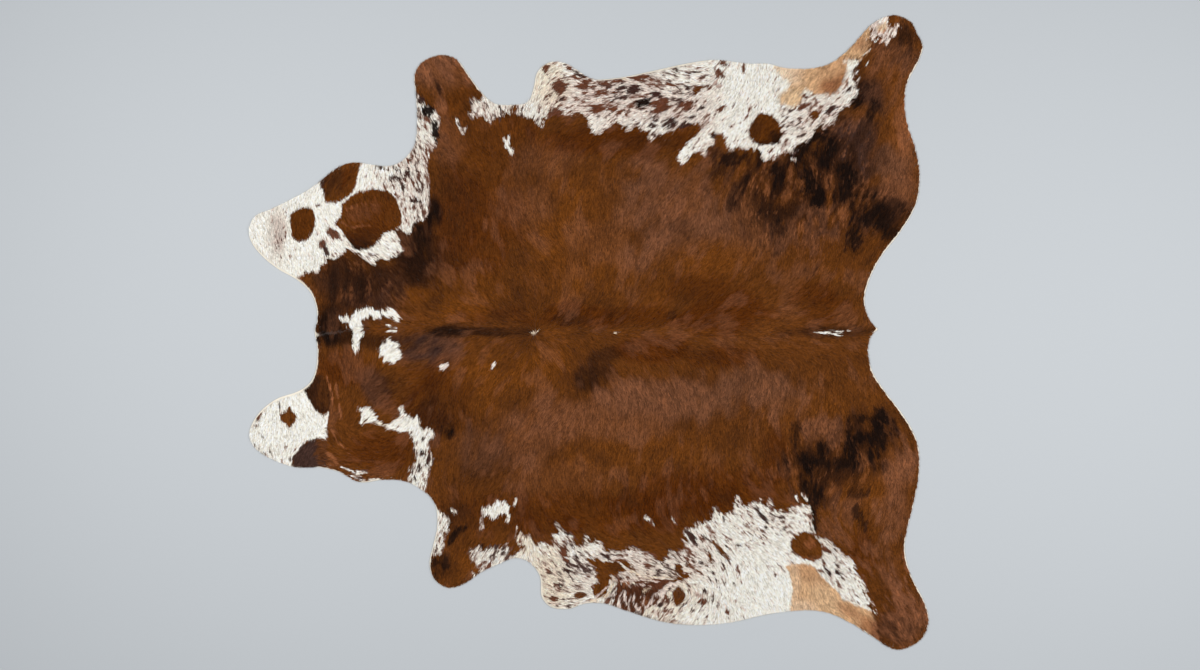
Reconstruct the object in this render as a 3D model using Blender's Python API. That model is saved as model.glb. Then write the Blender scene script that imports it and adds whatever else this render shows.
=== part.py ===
"""Cowhide rug: one whole hair-on hide, lying flat with its flesh side down.

Metres, +Z up. +X runs along the backbone from the neck to the tail, +Y is the animal's right side
and -Y its left. The origin is the middle of the hide's outer box, on the face it rests on.
"""
import math

import bmesh
import bpy
import numpy as np
from mathutils import Vector
from mathutils.geometry import delaunay_2d_cdt

# Driving dimensions, in metres.
CUT_EDGE_HEIGHT = 0.0030     # leather plus the thin hair lying over it, at the trimmed edge
FLANK_HEIGHT = 0.0056        # leather plus flat-lying hair over most of the hide
BACK_RISE = 0.0016           # extra thickness of the skin along the back
BACK_HALF_WIDTH = 0.230      # how far that thicker skin reaches to each side
SPINE_RISE = 0.0014          # the crest where the hair parts on the backbone
SPINE_HALF_WIDTH = 0.022
EDGE_ROUNDING = 0.014        # width over which the coat thins out to the trimmed edge
EDGE_STEP = 0.016            # spacing of the points that the trimmed edge is built from
COAT_STEP = 0.050            # spacing of the points inside the edge, hair side
FLESH_STEP = 0.120           # the same on the flat flesh side

# Landmarks on the trimmed edge, walked from the neck round the right side to the tail, and back
# along the left side. Each row is (along the backbone, across it), in metres.
EDGE_LANDMARKS = {
    "neck, right half": [
        (-0.877, 0.000), (-0.868, 0.045), (-0.878, 0.101), (-0.901, 0.140), (-0.941, 0.172),
        (-0.990, 0.199),
    ],
    "right cheek": [
        (-1.040, 0.238), (-1.077, 0.283), (-1.088, 0.322), (-1.070, 0.369), (-1.018, 0.393),
        (-0.950, 0.426), (-0.882, 0.465), (-0.816, 0.518), (-0.760, 0.543),
    ],
    "right shoulder": [
        (-0.690, 0.535), (-0.638, 0.531), (-0.597, 0.548), (-0.558, 0.597), (-0.548, 0.665),
        (-0.553, 0.766),
    ],
    "right foreleg": [
        (-0.558, 0.818), (-0.537, 0.861), (-0.469, 0.888), (-0.418, 0.869), (-0.390, 0.831),
        (-0.337, 0.761), (-0.300, 0.731), (-0.233, 0.728),
    ],
    "right elbow": [
        (-0.195, 0.735), (-0.176, 0.781), (-0.164, 0.832), (-0.130, 0.862), (-0.078, 0.862),
        (-0.034, 0.836), (0.010, 0.811),
    ],
    "right flank": [
        (0.100, 0.815), (0.200, 0.835), (0.320, 0.861), (0.400, 0.871), (0.520, 0.859),
        (0.578, 0.859), (0.620, 0.847), (0.700, 0.843), (0.770, 0.858),
    ],
    "right hind leg": [
        (0.830, 0.902), (0.880, 0.957), (0.910, 0.988), (0.980, 1.015), (1.034, 0.992),
        (1.054, 0.952), (1.071, 0.915), (1.056, 0.867), (1.022, 0.800), (1.012, 0.745),
    ],
    "right thigh": [
        (1.020, 0.672), (1.046, 0.588), (1.061, 0.500), (1.047, 0.405), (0.995, 0.316),
        (0.935, 0.238), (0.896, 0.158), (0.884, 0.098), (0.898, 0.044),
    ],
    "tail root": [
        (0.915, 0.020), (0.926, 0.009), (0.912, -0.004),
    ],
    "left thigh": [
        (0.900, -0.028), (0.895, -0.066), (0.909, -0.126), (0.950, -0.191), (1.010, -0.269),
        (1.051, -0.348), (1.060, -0.430), (1.042, -0.546), (1.018, -0.645), (1.013, -0.698),
    ],
    "left hind leg": [
        (1.032, -0.778), (1.076, -0.866), (1.089, -0.922), (1.066, -0.984), (0.990, -1.018),
        (0.925, -0.986), (0.840, -0.931), (0.760, -0.897),
    ],
    "left flank": [
        (0.690, -0.891), (0.580, -0.903), (0.450, -0.931), (0.350, -0.9385), (0.240, -0.928),
        (0.120, -0.892), (0.050, -0.869), (-0.010, -0.870),
    ],
    "left elbow": [
        (-0.066, -0.887), (-0.120, -0.881), (-0.149, -0.850), (-0.156, -0.782), (-0.190, -0.737),
        (-0.236, -0.723), (-0.285, -0.741),
    ],
    "left foreleg": [
        (-0.346, -0.770), (-0.395, -0.804), (-0.447, -0.820), (-0.492, -0.794), (-0.509, -0.746),
        (-0.499, -0.690), (-0.484, -0.618), (-0.494, -0.546),
    ],
    "left shoulder": [
        (-0.530, -0.508), (-0.585, -0.479), (-0.655, -0.473), (-0.732, -0.481), (-0.797, -0.449),
        (-0.865, -0.433),
    ],
    "left cheek": [
        (-0.938, -0.433), (-1.030, -0.399), (-1.074, -0.364), (-1.086, -0.322), (-1.059, -0.264),
        (-1.002, -0.216), (-0.935, -0.192), (-0.904, -0.174),
    ],
    "neck, left half": [
        (-0.879, -0.140), (-0.868, -0.070), (-0.871, -0.030),
    ],
}

HAIR_COLOUR = (0.110, 0.043, 0.016, 1.0)
HAIR_ROUGHNESS = 0.62


def clear_scene():
    for obj in list(bpy.data.objects):
        bpy.data.objects.remove(obj, do_unlink=True)


def smooth_span(before, start, end, after, parts):
    """Points from start up to, not including, end on a centripetal Catmull-Rom curve."""
    lead = math.sqrt((start - before).length)
    span = math.sqrt((end - start).length)
    follow = math.sqrt((after - end).length)
    chord = (end - start) / span
    leave = ((start - before) / lead - (end - before) / (lead + span) + chord) * span
    arrive = (chord - (after - start) / (span + follow) + (after - end) / follow) * span
    points = []
    for i in range(parts):
        t = i / parts
        points.append(
            start * (2 * t**3 - 3 * t**2 + 1)
            + leave * (t**3 - 2 * t**2 + t)
            + end * (3 * t**2 - 2 * t**3)
            + arrive * (t**3 - t**2)
        )
    return points


def trimmed_edge():
    """The closed outline as about evenly spaced 2-D points, centred on the middle of its box."""
    landmarks = [Vector(row) for rows in EDGE_LANDMARKS.values() for row in rows]
    points = []
    for i, start in enumerate(landmarks):
        before = landmarks[i - 1]
        end = landmarks[(i + 1) % len(landmarks)]
        after = landmarks[(i + 2) % len(landmarks)]
        parts = max(1, round((end - start).length / EDGE_STEP))
        points += smooth_span(before, start, end, after, parts)
    outline = np.array([tuple(p) for p in points])
    return outline - (outline.min(axis=0) + outline.max(axis=0)) / 2


def distance_to_edge(points, outline):
    """Shortest distance from each point to the outline."""
    start = outline
    run = np.roll(outline, -1, axis=0) - start
    offset = points[:, None, :] - start[None, :, :]
    along = (offset * run).sum(axis=2) / (run * run).sum(axis=1)
    nearest = np.clip(along, 0.0, 1.0)[:, :, None] * run
    return np.sqrt(((offset - nearest) ** 2).sum(axis=2)).min(axis=1)


def is_inside(points, outline):
    """Even-odd test of each point against the outline."""
    a = outline
    b = np.roll(outline, -1, axis=0)
    x = points[:, 0:1]
    y = points[:, 1:2]
    straddles = (a[:, 1] > y) != (b[:, 1] > y)
    rise = np.where(b[:, 1] == a[:, 1], 1.0, b[:, 1] - a[:, 1])
    crossing = a[:, 0] + (y - a[:, 1]) / rise * (b[:, 0] - a[:, 0])
    return (straddles & (x < crossing)).sum(axis=1) % 2 == 1


def staggered_grid(outline, step, clear_of_edge):
    """Points in staggered rows inside the outline, at least clear_of_edge away from it."""
    low = outline.min(axis=0)
    high = outline.max(axis=0)
    row_step = step * math.sqrt(3) / 2
    rows = []
    for i in range(int((high[1] - low[1]) / row_step) + 1):
        xs = np.arange(low[0] + (i % 2) * step / 2, high[0], step)
        rows.append(np.column_stack([xs, np.full(len(xs), low[1] + i * row_step)]))
    points = np.vstack(rows)
    keep = is_inside(points, outline) & (distance_to_edge(points, outline) > clear_of_edge)
    return points[keep]


def inset_ring(outline, inset):
    """The outline moved inwards, without the points that crowd in its sharp corners."""
    run = np.roll(outline, -1, axis=0) - np.roll(outline, 1, axis=0)
    normal = np.column_stack([run[:, 1], -run[:, 0]]) / np.linalg.norm(run, axis=1)[:, None]
    ring = outline + normal * inset
    keep = is_inside(ring, outline) & (distance_to_edge(ring, outline) > 0.9 * inset)
    return ring[keep]


def hair_side_height(points, outline):
    """Height of the hair side: thicker along the back, thinning out to the trimmed edge."""
    across = points[:, 1]
    full = (
        FLANK_HEIGHT
        + BACK_RISE * np.exp(-((across / BACK_HALF_WIDTH) ** 2))
        + SPINE_RISE * np.exp(-((across / SPINE_HALF_WIDTH) ** 2))
    )
    inward = np.clip(distance_to_edge(points, outline) / EDGE_ROUNDING, 0.0, 1.0)
    return CUT_EDGE_HEIGHT + (full - CUT_EDGE_HEIGHT) * np.sqrt(1.0 - (1.0 - inward) ** 2)


def triangulate(outline, inner_points):
    """Delaunay triangles over the outline and the points inside it."""
    points = [Vector(p) for p in np.vstack([outline, inner_points])]
    count = len(outline)
    edges = [(i, (i + 1) % count) for i in range(count)]
    inside_constraints = 1
    merge_distance = 1e-6
    result = delaunay_2d_cdt(points, edges, [], inside_constraints, merge_distance)
    return np.array([tuple(p) for p in result[0]]), result[2]


def add_sheet(mesh, points, heights, faces):
    """Adds one face of the hide to the mesh and returns its vertices."""
    verts = [mesh.verts.new((x, y, z)) for (x, y), z in zip(points, heights)]
    for face in faces:
        mesh.faces.new([verts[i] for i in face])
    return verts


def make_hide():
    """The hide as one closed solid with a flat flesh side."""
    outline = trimmed_edge()
    coat_points = np.vstack([
        inset_ring(outline, EDGE_ROUNDING),
        staggered_grid(outline, COAT_STEP, EDGE_ROUNDING + COAT_STEP / 3),
    ])
    flesh_points = staggered_grid(outline, FLESH_STEP, FLESH_STEP / 3)
    top, top_faces = triangulate(outline, coat_points)
    bottom, bottom_faces = triangulate(outline, flesh_points)

    mesh = bmesh.new()
    hair_side = add_sheet(mesh, top, hair_side_height(top, outline), top_faces)
    flesh_side = add_sheet(mesh, bottom, np.zeros(len(bottom)), bottom_faces)
    for i in range(len(outline)):
        j = (i + 1) % len(outline)
        mesh.faces.new((flesh_side[i], flesh_side[j], hair_side[j], hair_side[i]))
    bmesh.ops.recalc_face_normals(mesh, faces=mesh.faces)

    data = bpy.data.meshes.new("hide")
    mesh.to_mesh(data)
    mesh.free()
    data.shade_smooth()
    data.set_sharp_from_angle(angle=math.radians(40))
    hide = bpy.data.objects.new("hide", data)
    bpy.context.scene.collection.objects.link(hide)
    return hide


def make_hair_material():
    material = bpy.data.materials.new("brown hair")
    material.use_nodes = True
    shader = material.node_tree.nodes["Principled BSDF"]
    shader.inputs["Base Color"].default_value = HAIR_COLOUR
    shader.inputs["Roughness"].default_value = HAIR_ROUGHNESS
    shader.inputs["Metallic"].default_value = 0.0
    return material


clear_scene()
hide = make_hide()
hide.data.materials.append(make_hair_material())
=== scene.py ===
# %% [markdown]
# # A cowhide rug
# A whole hide is tanned with its hair on, stretched flat and trimmed along the belly line.
# It makes a soft rug of about 2.2 by 2 metres, lying on its flesh side with the hair up.
# The steps here keep a maker's order. The trimmed edge comes from the solid model, the hair is
# combed, the coat is coloured, the skin is cut, and short locks of hair are planted on it.

# %% Load the solid model
import math
from collections import namedtuple
import bmesh
import bpy
import numpy as np
from mathutils.geometry import delaunay_2d_cdt
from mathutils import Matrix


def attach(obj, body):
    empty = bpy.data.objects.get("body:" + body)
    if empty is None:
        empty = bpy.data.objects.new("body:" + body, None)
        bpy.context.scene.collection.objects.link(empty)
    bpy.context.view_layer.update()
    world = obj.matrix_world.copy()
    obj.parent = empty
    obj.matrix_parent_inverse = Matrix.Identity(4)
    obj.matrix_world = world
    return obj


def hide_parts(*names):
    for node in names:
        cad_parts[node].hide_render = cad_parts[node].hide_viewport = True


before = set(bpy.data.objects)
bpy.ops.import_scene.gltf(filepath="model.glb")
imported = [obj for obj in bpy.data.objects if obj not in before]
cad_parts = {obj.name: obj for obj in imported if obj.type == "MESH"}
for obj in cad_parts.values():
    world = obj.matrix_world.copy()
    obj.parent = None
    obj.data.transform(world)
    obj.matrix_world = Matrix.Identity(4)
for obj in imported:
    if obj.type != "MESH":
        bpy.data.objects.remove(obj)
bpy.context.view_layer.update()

# %% [markdown]
# ## The studio
# A rug is looked at from straight above, on a pale floor, so that its outline isn't foreshortened.
# Two wide lamps from opposite corners and a bright room give soft light with almost no shadow.

# %% Camera
LENS = 50.0
CAMERA_PLACE = (0.0363, -0.0081, 5.342)
CAMERA_SEES = 50.0           # nothing farther than this is drawn

camera_data = bpy.data.cameras.new("camera")
camera_data.lens = LENS
camera_data.clip_end = CAMERA_SEES
camera = bpy.data.objects.new("camera", camera_data)
camera.location = CAMERA_PLACE
bpy.context.scene.collection.objects.link(camera)
bpy.context.scene.camera = camera
bpy.context.scene.view_settings.view_transform = "Standard"

# %% Floor and lamps
FLOOR_SIZE = 14.0
FLOOR_DROP = 0.0008          # keeps the floor just below the flesh side
FLOOR_COLOUR = (0.424, 0.443, 0.462)
FLOOR_ROUGHNESS = 0.8
ROOM_COLOUR = (0.95, 0.98, 1.0)
ROOM_LIGHT = 0.50
LAMP_SIZE = 1.4
LAMPS = (
    # name, x, y, z, watts
    ("window lamp", -1.6, 0.3, 3.0, 71.0),
    ("far lamp", 2.6, 0.0, 3.0, 82.0),
)


def new_material(name, roughness):
    """A material, its shader tree and its main shader."""
    made = bpy.data.materials.new(name)
    made.use_nodes = True
    shader = made.node_tree.nodes["Principled BSDF"]
    shader.inputs["Roughness"].default_value = roughness
    return made, made.node_tree, shader


bpy.ops.mesh.primitive_plane_add(size=FLOOR_SIZE, location=(0, 0, -FLOOR_DROP))
floor = bpy.context.object
floor.name = "floor"
pale_floor, _, floor_shader = new_material("pale floor", FLOOR_ROUGHNESS)
floor_shader.inputs["Base Color"].default_value = (*FLOOR_COLOUR, 1.0)
floor.data.materials.append(pale_floor)

for name, x, y, z, watts in LAMPS:
    lamp_data = bpy.data.lights.new(name, "AREA")
    lamp_data.size = LAMP_SIZE
    lamp_data.energy = watts
    lamp = bpy.data.objects.new(name, lamp_data)
    lamp.location = (x, y, z)
    lamp.rotation_euler = (math.atan2(math.hypot(x, y), z), 0, math.atan2(x, -y))
    bpy.context.scene.collection.objects.link(lamp)

room = bpy.data.worlds.new("room")
room.use_nodes = True
room_shader = room.node_tree.nodes["Background"]
room_shader.inputs["Color"].default_value = (*ROOM_COLOUR, 1.0)
room_shader.inputs["Strength"].default_value = ROOM_LIGHT
bpy.context.scene.world = room
print("camera height:", CAMERA_PLACE[2], "lamps:", len(LAMPS))

# %% [markdown]
# ## The trimmed edge
# A hide is trimmed with a knife from the flesh side. The cut is one closed line, and everything on
# the rug is placed from it. It is the border of the solid model's flat underside.

# %% Read the edge from the solid model
WELD = 0.00001
FACES_DOWN = -0.9            # an underside face's normal points at least this far down


def underside_edge(node):
    """The closed line round the flat underside of a CAD node, walked anticlockwise from above."""
    copy = bmesh.new()
    copy.from_mesh(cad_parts[node].data)
    bmesh.ops.remove_doubles(copy, verts=copy.verts, dist=WELD)
    following = {}
    for face in copy.faces:
        if face.normal.z > FACES_DOWN:
            continue
        for corner in face.loops:
            if corner.link_loop_radial_next.face.normal.z > FACES_DOWN:
                following[corner.link_loop_next.vert] = corner.vert
    start = next(iter(following))
    walk = [start]
    while following[walk[-1]] is not start:
        walk.append(following[walk[-1]])
    line = np.array([tuple(v.co.xy) for v in walk])
    copy.free()
    return line


def smoothed(line, parts):
    """A finer closed line through the same points, as a curve."""
    before = np.roll(line, 1, axis=0)
    after = np.roll(line, -1, axis=0)
    beyond = np.roll(line, -2, axis=0)
    spans = []
    for t in np.arange(parts) / parts:
        spans.append(
            line
            + 0.5 * t * (after - before)
            + t * t * (before - 2.5 * line + 2 * after - 0.5 * beyond)
            + t ** 3 * (1.5 * (line - after) + 0.5 * (beyond - before))
        )
    return np.stack(spans, axis=1).reshape(-1, 2)


def line_area(line):
    """The area inside a closed line, more than 0 if it is walked anticlockwise."""
    after = np.roll(line, -1, axis=0)
    return 0.5 * float((line[:, 0] * after[:, 1] - after[:, 0] * line[:, 1]).sum())


edge = underside_edge("hide")
print("edge points:", len(edge), "area, square metres:", round(line_area(edge), 4))

# %% [markdown]
# ## Working grids
# Combing, streaks and soft patches are worked out on grids over the whole hide and then read at
# each lock. That is faster than asking every lock, and neighbours agree. Broad things need 4 mm
# cells, and the fine streaks 2 mm.

# %% Grid helpers
GRID_LOW = np.array([-1.128, -1.056])
GRID_SIZE = np.array([2.256, 2.112])
GRID_STEP = 0.004
FINE_STEP = 0.002
NOT_ZERO = 1e-12             # keeps a division by a length safe


def cells(step):
    """How many rows and columns of cells a grid has."""
    return int(round(GRID_SIZE[1] / step)), int(round(GRID_SIZE[0] / step))


def cell_points(step):
    """The place of every cell of a grid, row by row."""
    rows, columns = np.indices(cells(step))
    return np.column_stack([columns.ravel(), rows.ravel()]) * step + GRID_LOW


GRID_SHAPE = cells(GRID_STEP)
grid_points = cell_points(GRID_STEP)


def sample(grid, at):
    """Reads a grid at any points, blending the four cells round each point."""
    place = (at - GRID_LOW) * (grid.shape[1] / GRID_SIZE[0])
    column = np.clip(place[:, 0], 0, grid.shape[1] - 1.001)
    row = np.clip(place[:, 1], 0, grid.shape[0] - 1.001)
    c = column.astype(int)
    r = row.astype(int)
    channels = (1,) * (grid.ndim - 2)
    u = (column - c).reshape(-1, *channels)
    v = (row - r).reshape(-1, *channels)
    near = grid[r, c] * (1 - u) + grid[r, c + 1] * u
    far = grid[r + 1, c] * (1 - u) + grid[r + 1, c + 1] * u
    return near * (1 - v) + far * v


def depth_inside(at, line):
    """Distance from each point to a closed line, more than 0 inside it."""
    nearest = np.full(len(at), np.inf)
    inside = np.zeros(len(at), bool)
    x, y = at[:, 0], at[:, 1]
    for (ax, ay), (bx, by) in zip(line, np.roll(line, -1, axis=0)):
        run_x, run_y = bx - ax, by - ay
        share = ((x - ax) * run_x + (y - ay) * run_y) / (run_x ** 2 + run_y ** 2 + NOT_ZERO)
        share = np.clip(share, 0, 1)
        gap = (x - ax - share * run_x) ** 2 + (y - ay - share * run_y) ** 2
        nearest = np.minimum(nearest, gap)
        if ay != by:
            inside ^= ((ay > y) != (by > y)) & (x < ax + (y - ay) * run_x / run_y)
    return np.where(inside, 1, -1) * np.sqrt(nearest)


edge_depth = depth_inside(grid_points, edge).reshape(GRID_SHAPE)
print("deepest point, metres from the edge:", round(float(edge_depth.max()), 3))

# %% [markdown]
# ## Combing the hair
# Hair on a cow lies back from the head and down the flanks. It parts along the backbone, starts
# from a whorl over the shoulders and curls round a whorl in the fold of each flank.
# Some 340 guides give the lie at points on the hide, and the rest blends between them.

# %% Comb guides
# Each guide: centimetres along the backbone, centimetres across, degrees that the hair tips point to.
# 0 is towards the tail and 90 is towards the animal's right side.
COMB_RIGHT = """
-86 5 92   -86 14 96  -80 12 80   -73 12 82   -62 15 130  -55 12 125  -66 27 143  -74 27 140
-80 33 125 -85 36 118 -90 33 100  -98 33 85   -105 30 105 -92 24 105  -93 40 75   -86 48 55
-78 50 52  -70 52 75  -70 42 110  -60 45 118  -55 50 115  -58 57 110  -54 40 94   -50 33 92
-49 45 98  -40 30 95  -33 30 91   -27 35 104  -22 30 116  -17 28 128  -12 26 132  -14 18 122
-8 32 108  -5 20 94   0 26 88     -25 45 98   -14 46 98   -5 46 70    -30 60 105  -45 60 124
-36 55 128 -42 70 112 -50 75 112  -55 82 100  -43 82 128  -37 78 132  -22 62 104  -20 68 84
-15 65 60  -12 56 62  -17 72 62   -16 79 74   -12 84 44   -8 85 -5    -4 82 -25   -6 77 8
-11 76 30  -8 70 26   0 74 14     10 76 12    3 80 6      10 80 6     18 74 22    16 80 -8
12 68 28   24 70 40   5 66 40     20 62 48    30 66 46    36 58 45    41 66 50    46 60 52
52 74 64   49 80 82   32 74 42    28 78 -12   20 82 -26   26 82 -22   30 84 -16   34 83 -18
24 86 -18  36 86 8    41 86 62    44 80 66    46 74 60    40 74 44    50 84 86    50 90 92
56 80 84   56 72 66
62 84 62   62 74 46   70 80 40    78 80 52    86 86 58    90 95 62    98 90 64    101 98 100
95 101 55  65 68 32   72 70 38    80 69 34    70 62 38    80 61 60    72 55 106   78 55 92
85 62 82   90 60 72   95 72 66    101 80 72   102 65 96   101 50 78   40 52 62    46 49 70
50 43 74   56 40 76   60 34 88    66 34 86    45 35 104   50 32 95    30 40 62    20 45 62
10 45 82   2 40 88    10 30 82    20 30 64    30 25 54    40 24 42    52 22 70    62 24 85
70 25 73   80 30 80   85 22 76    90 30 62    96 38 58    85 13 82    88 7 100
-50 6 148  -38 6 146  -27 6 140   -21 3 165   -45 16 120  -30 16 110  -20 14 104  -13 3 30
-9 7 55    2 6 50     -9 14 84    2 14 80     12 5 46     12 14 74    22 5 42     25 14 64
35 5 38    40 14 44   47 5 26     60 6 16     60 14 40    72 6 14     75 14 56    82 5 30
"""
COMB_LEFT = """
-86 -6 272  -80 -10 282 -77 -12 275 -71 -10 265 -86 -17 263 -82 -25 256 -87 -21 295 -92 -27 298
-97 -30 272 -93 -37 235 -105 -30 250 -100 -40 280 -66 -17 213 -60 -14 205 -55 -5 212 -50 -4 222
-40 -5 213  -30 -5 218  -25 -4 224  -45 -10 216 -38 -10 240 -30 -10 240 -25 -12 240 -56 -13 196
-50 -18 250 -42 -18 258 -35 -18 238 -30 -20 245 -20 -17 262 -12 -18 246 -12 -25 232 -8 -7 -50
-5 -11 -64  0 -10 -72   -50 -27 256 -40 -26 280 -48 -36 258 -53 -40 262 -58 -45 254 -62 -40 225
-65 -44 185 -72 -44 180 -80 -42 165 -79 -33 110 -70 -36 150 -64 -32 205 -74 -26 240 -47 -44 258
-46 -51 292 -42 -53 295 -38 -48 238 -33 -48 232 -30 -42 238 -25 -40 246 -20 -43 255 -15 -42 268
-43 -65 250 -37 -66 240 -33 -60 262 -27 -60 255 -46 -70 264 -42 -77 245 -50 -76 280 -35 -72 238
-30 -75 232 -25 -70 226 -22 -60 263 -18 -55 284 -15 -60 304 -10 -60 307 -5 -61 322 -10 -67 318
-3 -68 306  -10 -73 315 0 -72 330   -8 -78 328  0 -79 350   -15 -80 328 -10 -87 350 -3 -87 20
5 -70 332   12 -70 340  19 -70 333  10 -76 340  19 -77 340  26 -70 320  31 -69 315  38 -67 313
45 -65 318  50 -62 318  55 -58 321  60 -57 328  67 -58 338  42 -56 303  35 -54 282  13 -55 266
13 -42 264  25 -50 262  25 -35 262  0 -50 262   0 -35 264   13 -28 262  35 -40 262  47 -20 250
55 -22 251  62 -26 269  70 -25 258  76 -25 258  85 -25 278  90 -24 285  96 -20 304  93 -29 288
98 -33 296  60 -34 278  65 -36 282  70 -39 284  75 -40 262  81 -38 269  90 -38 287  96 -39 285
103 -46 275 101 -52 268 101 -61 262 99 -70 273  101 -81 300 65 -45 274  70 -50 285  75 -48 246
81 -48 240  86 -50 241  90 -52 254  94 -60 250  70 -60 288  73 -67 308  77 -70 322  81 -76 318
86 -84 310  91 -89 308  70 -82 286  76 -83 300  81 -88 314  88 -94 314  50 -78 288  50 -86 308
46 -86 288  42 -86 276  56 -70 324  55 -80 300  34 -77 338  42 -80 292  37 -88 226  28 -87 220
20 -87 236  14 -87 258  9 -85 250   5 -82 216   94 -91 304  98 -96 318  102 -94 280 24 -79 350
-14 -5 -45  4 -5 -42    14 -5 -32   14 -14 -68  25 -5 -30   28 -14 -72  38 -5 -26   40 -13 -80
50 -5 -22   52 -12 -88  62 -5 -16   64 -14 -86  75 -5 -14   76 -13 -84  84 -6 -40   87 -13 -78
"""
COMB_REACH = 0.045           # a guide holds the hair firmly out to about this distance
FALL_OFF = 2.2               # how fast a guide's say falls off past its reach


def numbers(text, columns):
    """A short table as rows of numbers."""
    return np.array(text.split(), float).reshape(-1, columns)


comb_guides = np.vstack([numbers(COMB_RIGHT, 3), numbers(COMB_LEFT, 3)])


def blend_guides(at, places, values, reach):
    """Blends values given at places over all points, the nearest places counting most."""
    total = np.zeros((len(at), values.shape[1]))
    weight = np.zeros(len(at))
    for place, value in zip(places, values):
        gap = ((at - place) ** 2).sum(axis=1) + reach ** 2
        share = gap ** -FALL_OFF
        total += share[:, None] * value
        weight += share
    return total / weight[:, None]


def unit(vectors):
    """The same directions, one unit long."""
    return vectors / (np.linalg.norm(vectors, axis=1)[:, None] + 1e-9)


guide_turn = np.radians(comb_guides[:, 2])
comb = blend_guides(
    grid_points,
    comb_guides[:, :2] / 100,
    np.column_stack([np.cos(guide_turn), np.sin(guide_turn)]),
    COMB_REACH,
)
comb = unit(comb).reshape(*GRID_SHAPE, 2)
print("comb guides:", len(comb_guides))

# %% [markdown]
# ## Streaks along the hair
# Pigment follows the hair, so every border and fleck is drawn out along it. Random grain is smeared
# along the combed lie to make streaks of three widths, and blurred evenly to make cloudy patches.

# %% Streaks and clouds
FINE_STREAKS = (
    # grain size, half length of a streak
    (0.0013, 0.011),
    (0.0026, 0.022),
)
BROAD_STREAKS = ((0.0075, 0.055),)
CLOUDS = (0.007, 0.020, 0.070)
FINE_SEED, BROAD_SEED, CLOUD_SEED = 11, 21, 31


def cloudy(size, seed, step=GRID_STEP):
    """Even random cloudiness, about `size` metres across, spread round 0 by 1."""
    shape = cells(step)
    grain = np.random.default_rng(seed).standard_normal(shape)
    down = np.fft.fftfreq(shape[0])[:, None]
    across = np.fft.rfftfreq(shape[1])[None, :]
    keep = np.exp(-2 * (math.pi * size / step) ** 2 * (down ** 2 + across ** 2))
    made = np.fft.irfft2(np.fft.rfft2(grain) * keep, s=shape)
    return made / made.std()


def smeared(streak_sizes, step, seed):
    """Layers of grain drawn out along the combed hair."""
    grain = np.dstack([cloudy(size, seed + i, step) for i, (size, _) in enumerate(streak_sizes)])
    half_lengths = np.array([half_length for _, half_length in streak_sizes])
    starts = cell_points(step)
    total = grain.reshape(len(starts), -1).copy()
    for way in (1, -1):
        at = starts.copy()
        for i in range(1, int(half_lengths.max() / step) + 1):
            at += way * step * sample(comb, at)
            far = np.clip(i * step / half_lengths, 0, 1)
            total += sample(grain, at) * (0.5 + 0.5 * np.cos(math.pi * far))
    total -= total.mean(axis=0)
    total /= total.std(axis=0)
    return total.reshape(grain.shape)


fine_streaks = smeared(FINE_STREAKS, FINE_STEP, FINE_SEED)
broad_streaks = smeared(BROAD_STREAKS, GRID_STEP, BROAD_SEED)
clouds = np.dstack([cloudy(size, CLOUD_SEED + i) for i, size in enumerate(CLOUDS)])
print("fine streaks on", fine_streaks.shape, "cells, broad ones on", broad_streaks.shape)

# %% [markdown]
# ## The coat's colours
# This is a red-brown and white animal, with black brindling over the thighs, tan in the folds of the
# hind legs and roan flecking where white meets brown. Colours are given as eight-bit shades and
# turned into the linear values that shaders use.

# %% Pigments
PIGMENTS = {
    "brown": (98, 54, 19),
    "red brown": (80, 37, 5),
    "orange brown": (113, 62, 18),
    "light brown": (122, 76, 50),
    "pinkish brown": (112, 72, 50),
    "dark brown": (56, 30, 14),
    "purple brown": (66, 45, 38),
    "black": (22, 12, 8),
    "strand": (150, 92, 58),
    "white": (252, 244, 230),
    "shaded white": (212, 202, 191),
    "cream": (240, 218, 190),
    "pinkish white": (232, 212, 200),
    "roan": (176, 150, 138),
    "tan": (205, 163, 122),
    "pale tan": (228, 200, 172),
    "golden tan": (214, 180, 142),
    "deep tan": (158, 106, 70),
    "fleck": (58, 36, 30),
    "fleck brown": (94, 54, 36),
    "spot brown": (88, 46, 12),
    "cut edge": (236, 226, 208),
    "suede": (205, 192, 172),
}


def linear(shade):
    """Eight-bit display values as linear light."""
    value = np.array(shade, float) / 255
    return np.where(value <= 0.04045, value / 12.92, ((value + 0.055) / 1.055) ** 2.4)


pigment = {name: linear(shade) for name, shade in PIGMENTS.items()}
print("pigments:", len(pigment))

# %% [markdown]
# ## Patches
# A patch is a closed line, a stroke or an oval, given in centimetres along and across the hide.
# Its border is shifted by the streaks, which makes the spiky edge that hair gives every colour.

# %% Patch shapes
NEAR = 0.06                  # a patch is worked out only this close to it
WELL_OUTSIDE = -1.0          # the depth everywhere else
CORNER_CUTS = 2              # how many times a patch's corners are cut to round them


def smooth_step(low, high, value):
    """0 below low, 1 above high and soft in between."""
    share = np.clip((value - low) / (high - low), 0, 1)
    return share * share * (3 - 2 * share)


def close_to(at, line):
    """Which points are close enough to a line to be worked out."""
    return ((at > line.min(axis=0) - NEAR) & (at < line.max(axis=0) + NEAR)).all(axis=1)


def depth_in_patch(at, corners):
    """How deep each point lies in a patch with rounded corners, in metres."""
    line = numbers(corners, 2) / 100
    for _ in range(CORNER_CUTS):
        after = np.roll(line, -1, axis=0)
        cuts = [0.75 * line + 0.25 * after, 0.25 * line + 0.75 * after]
        line = np.stack(cuts, axis=1).reshape(-1, 2)
    depth = np.full(len(at), WELL_OUTSIDE)
    near = close_to(at, line)
    depth[near] = depth_inside(at[near], line)
    return depth


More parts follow.
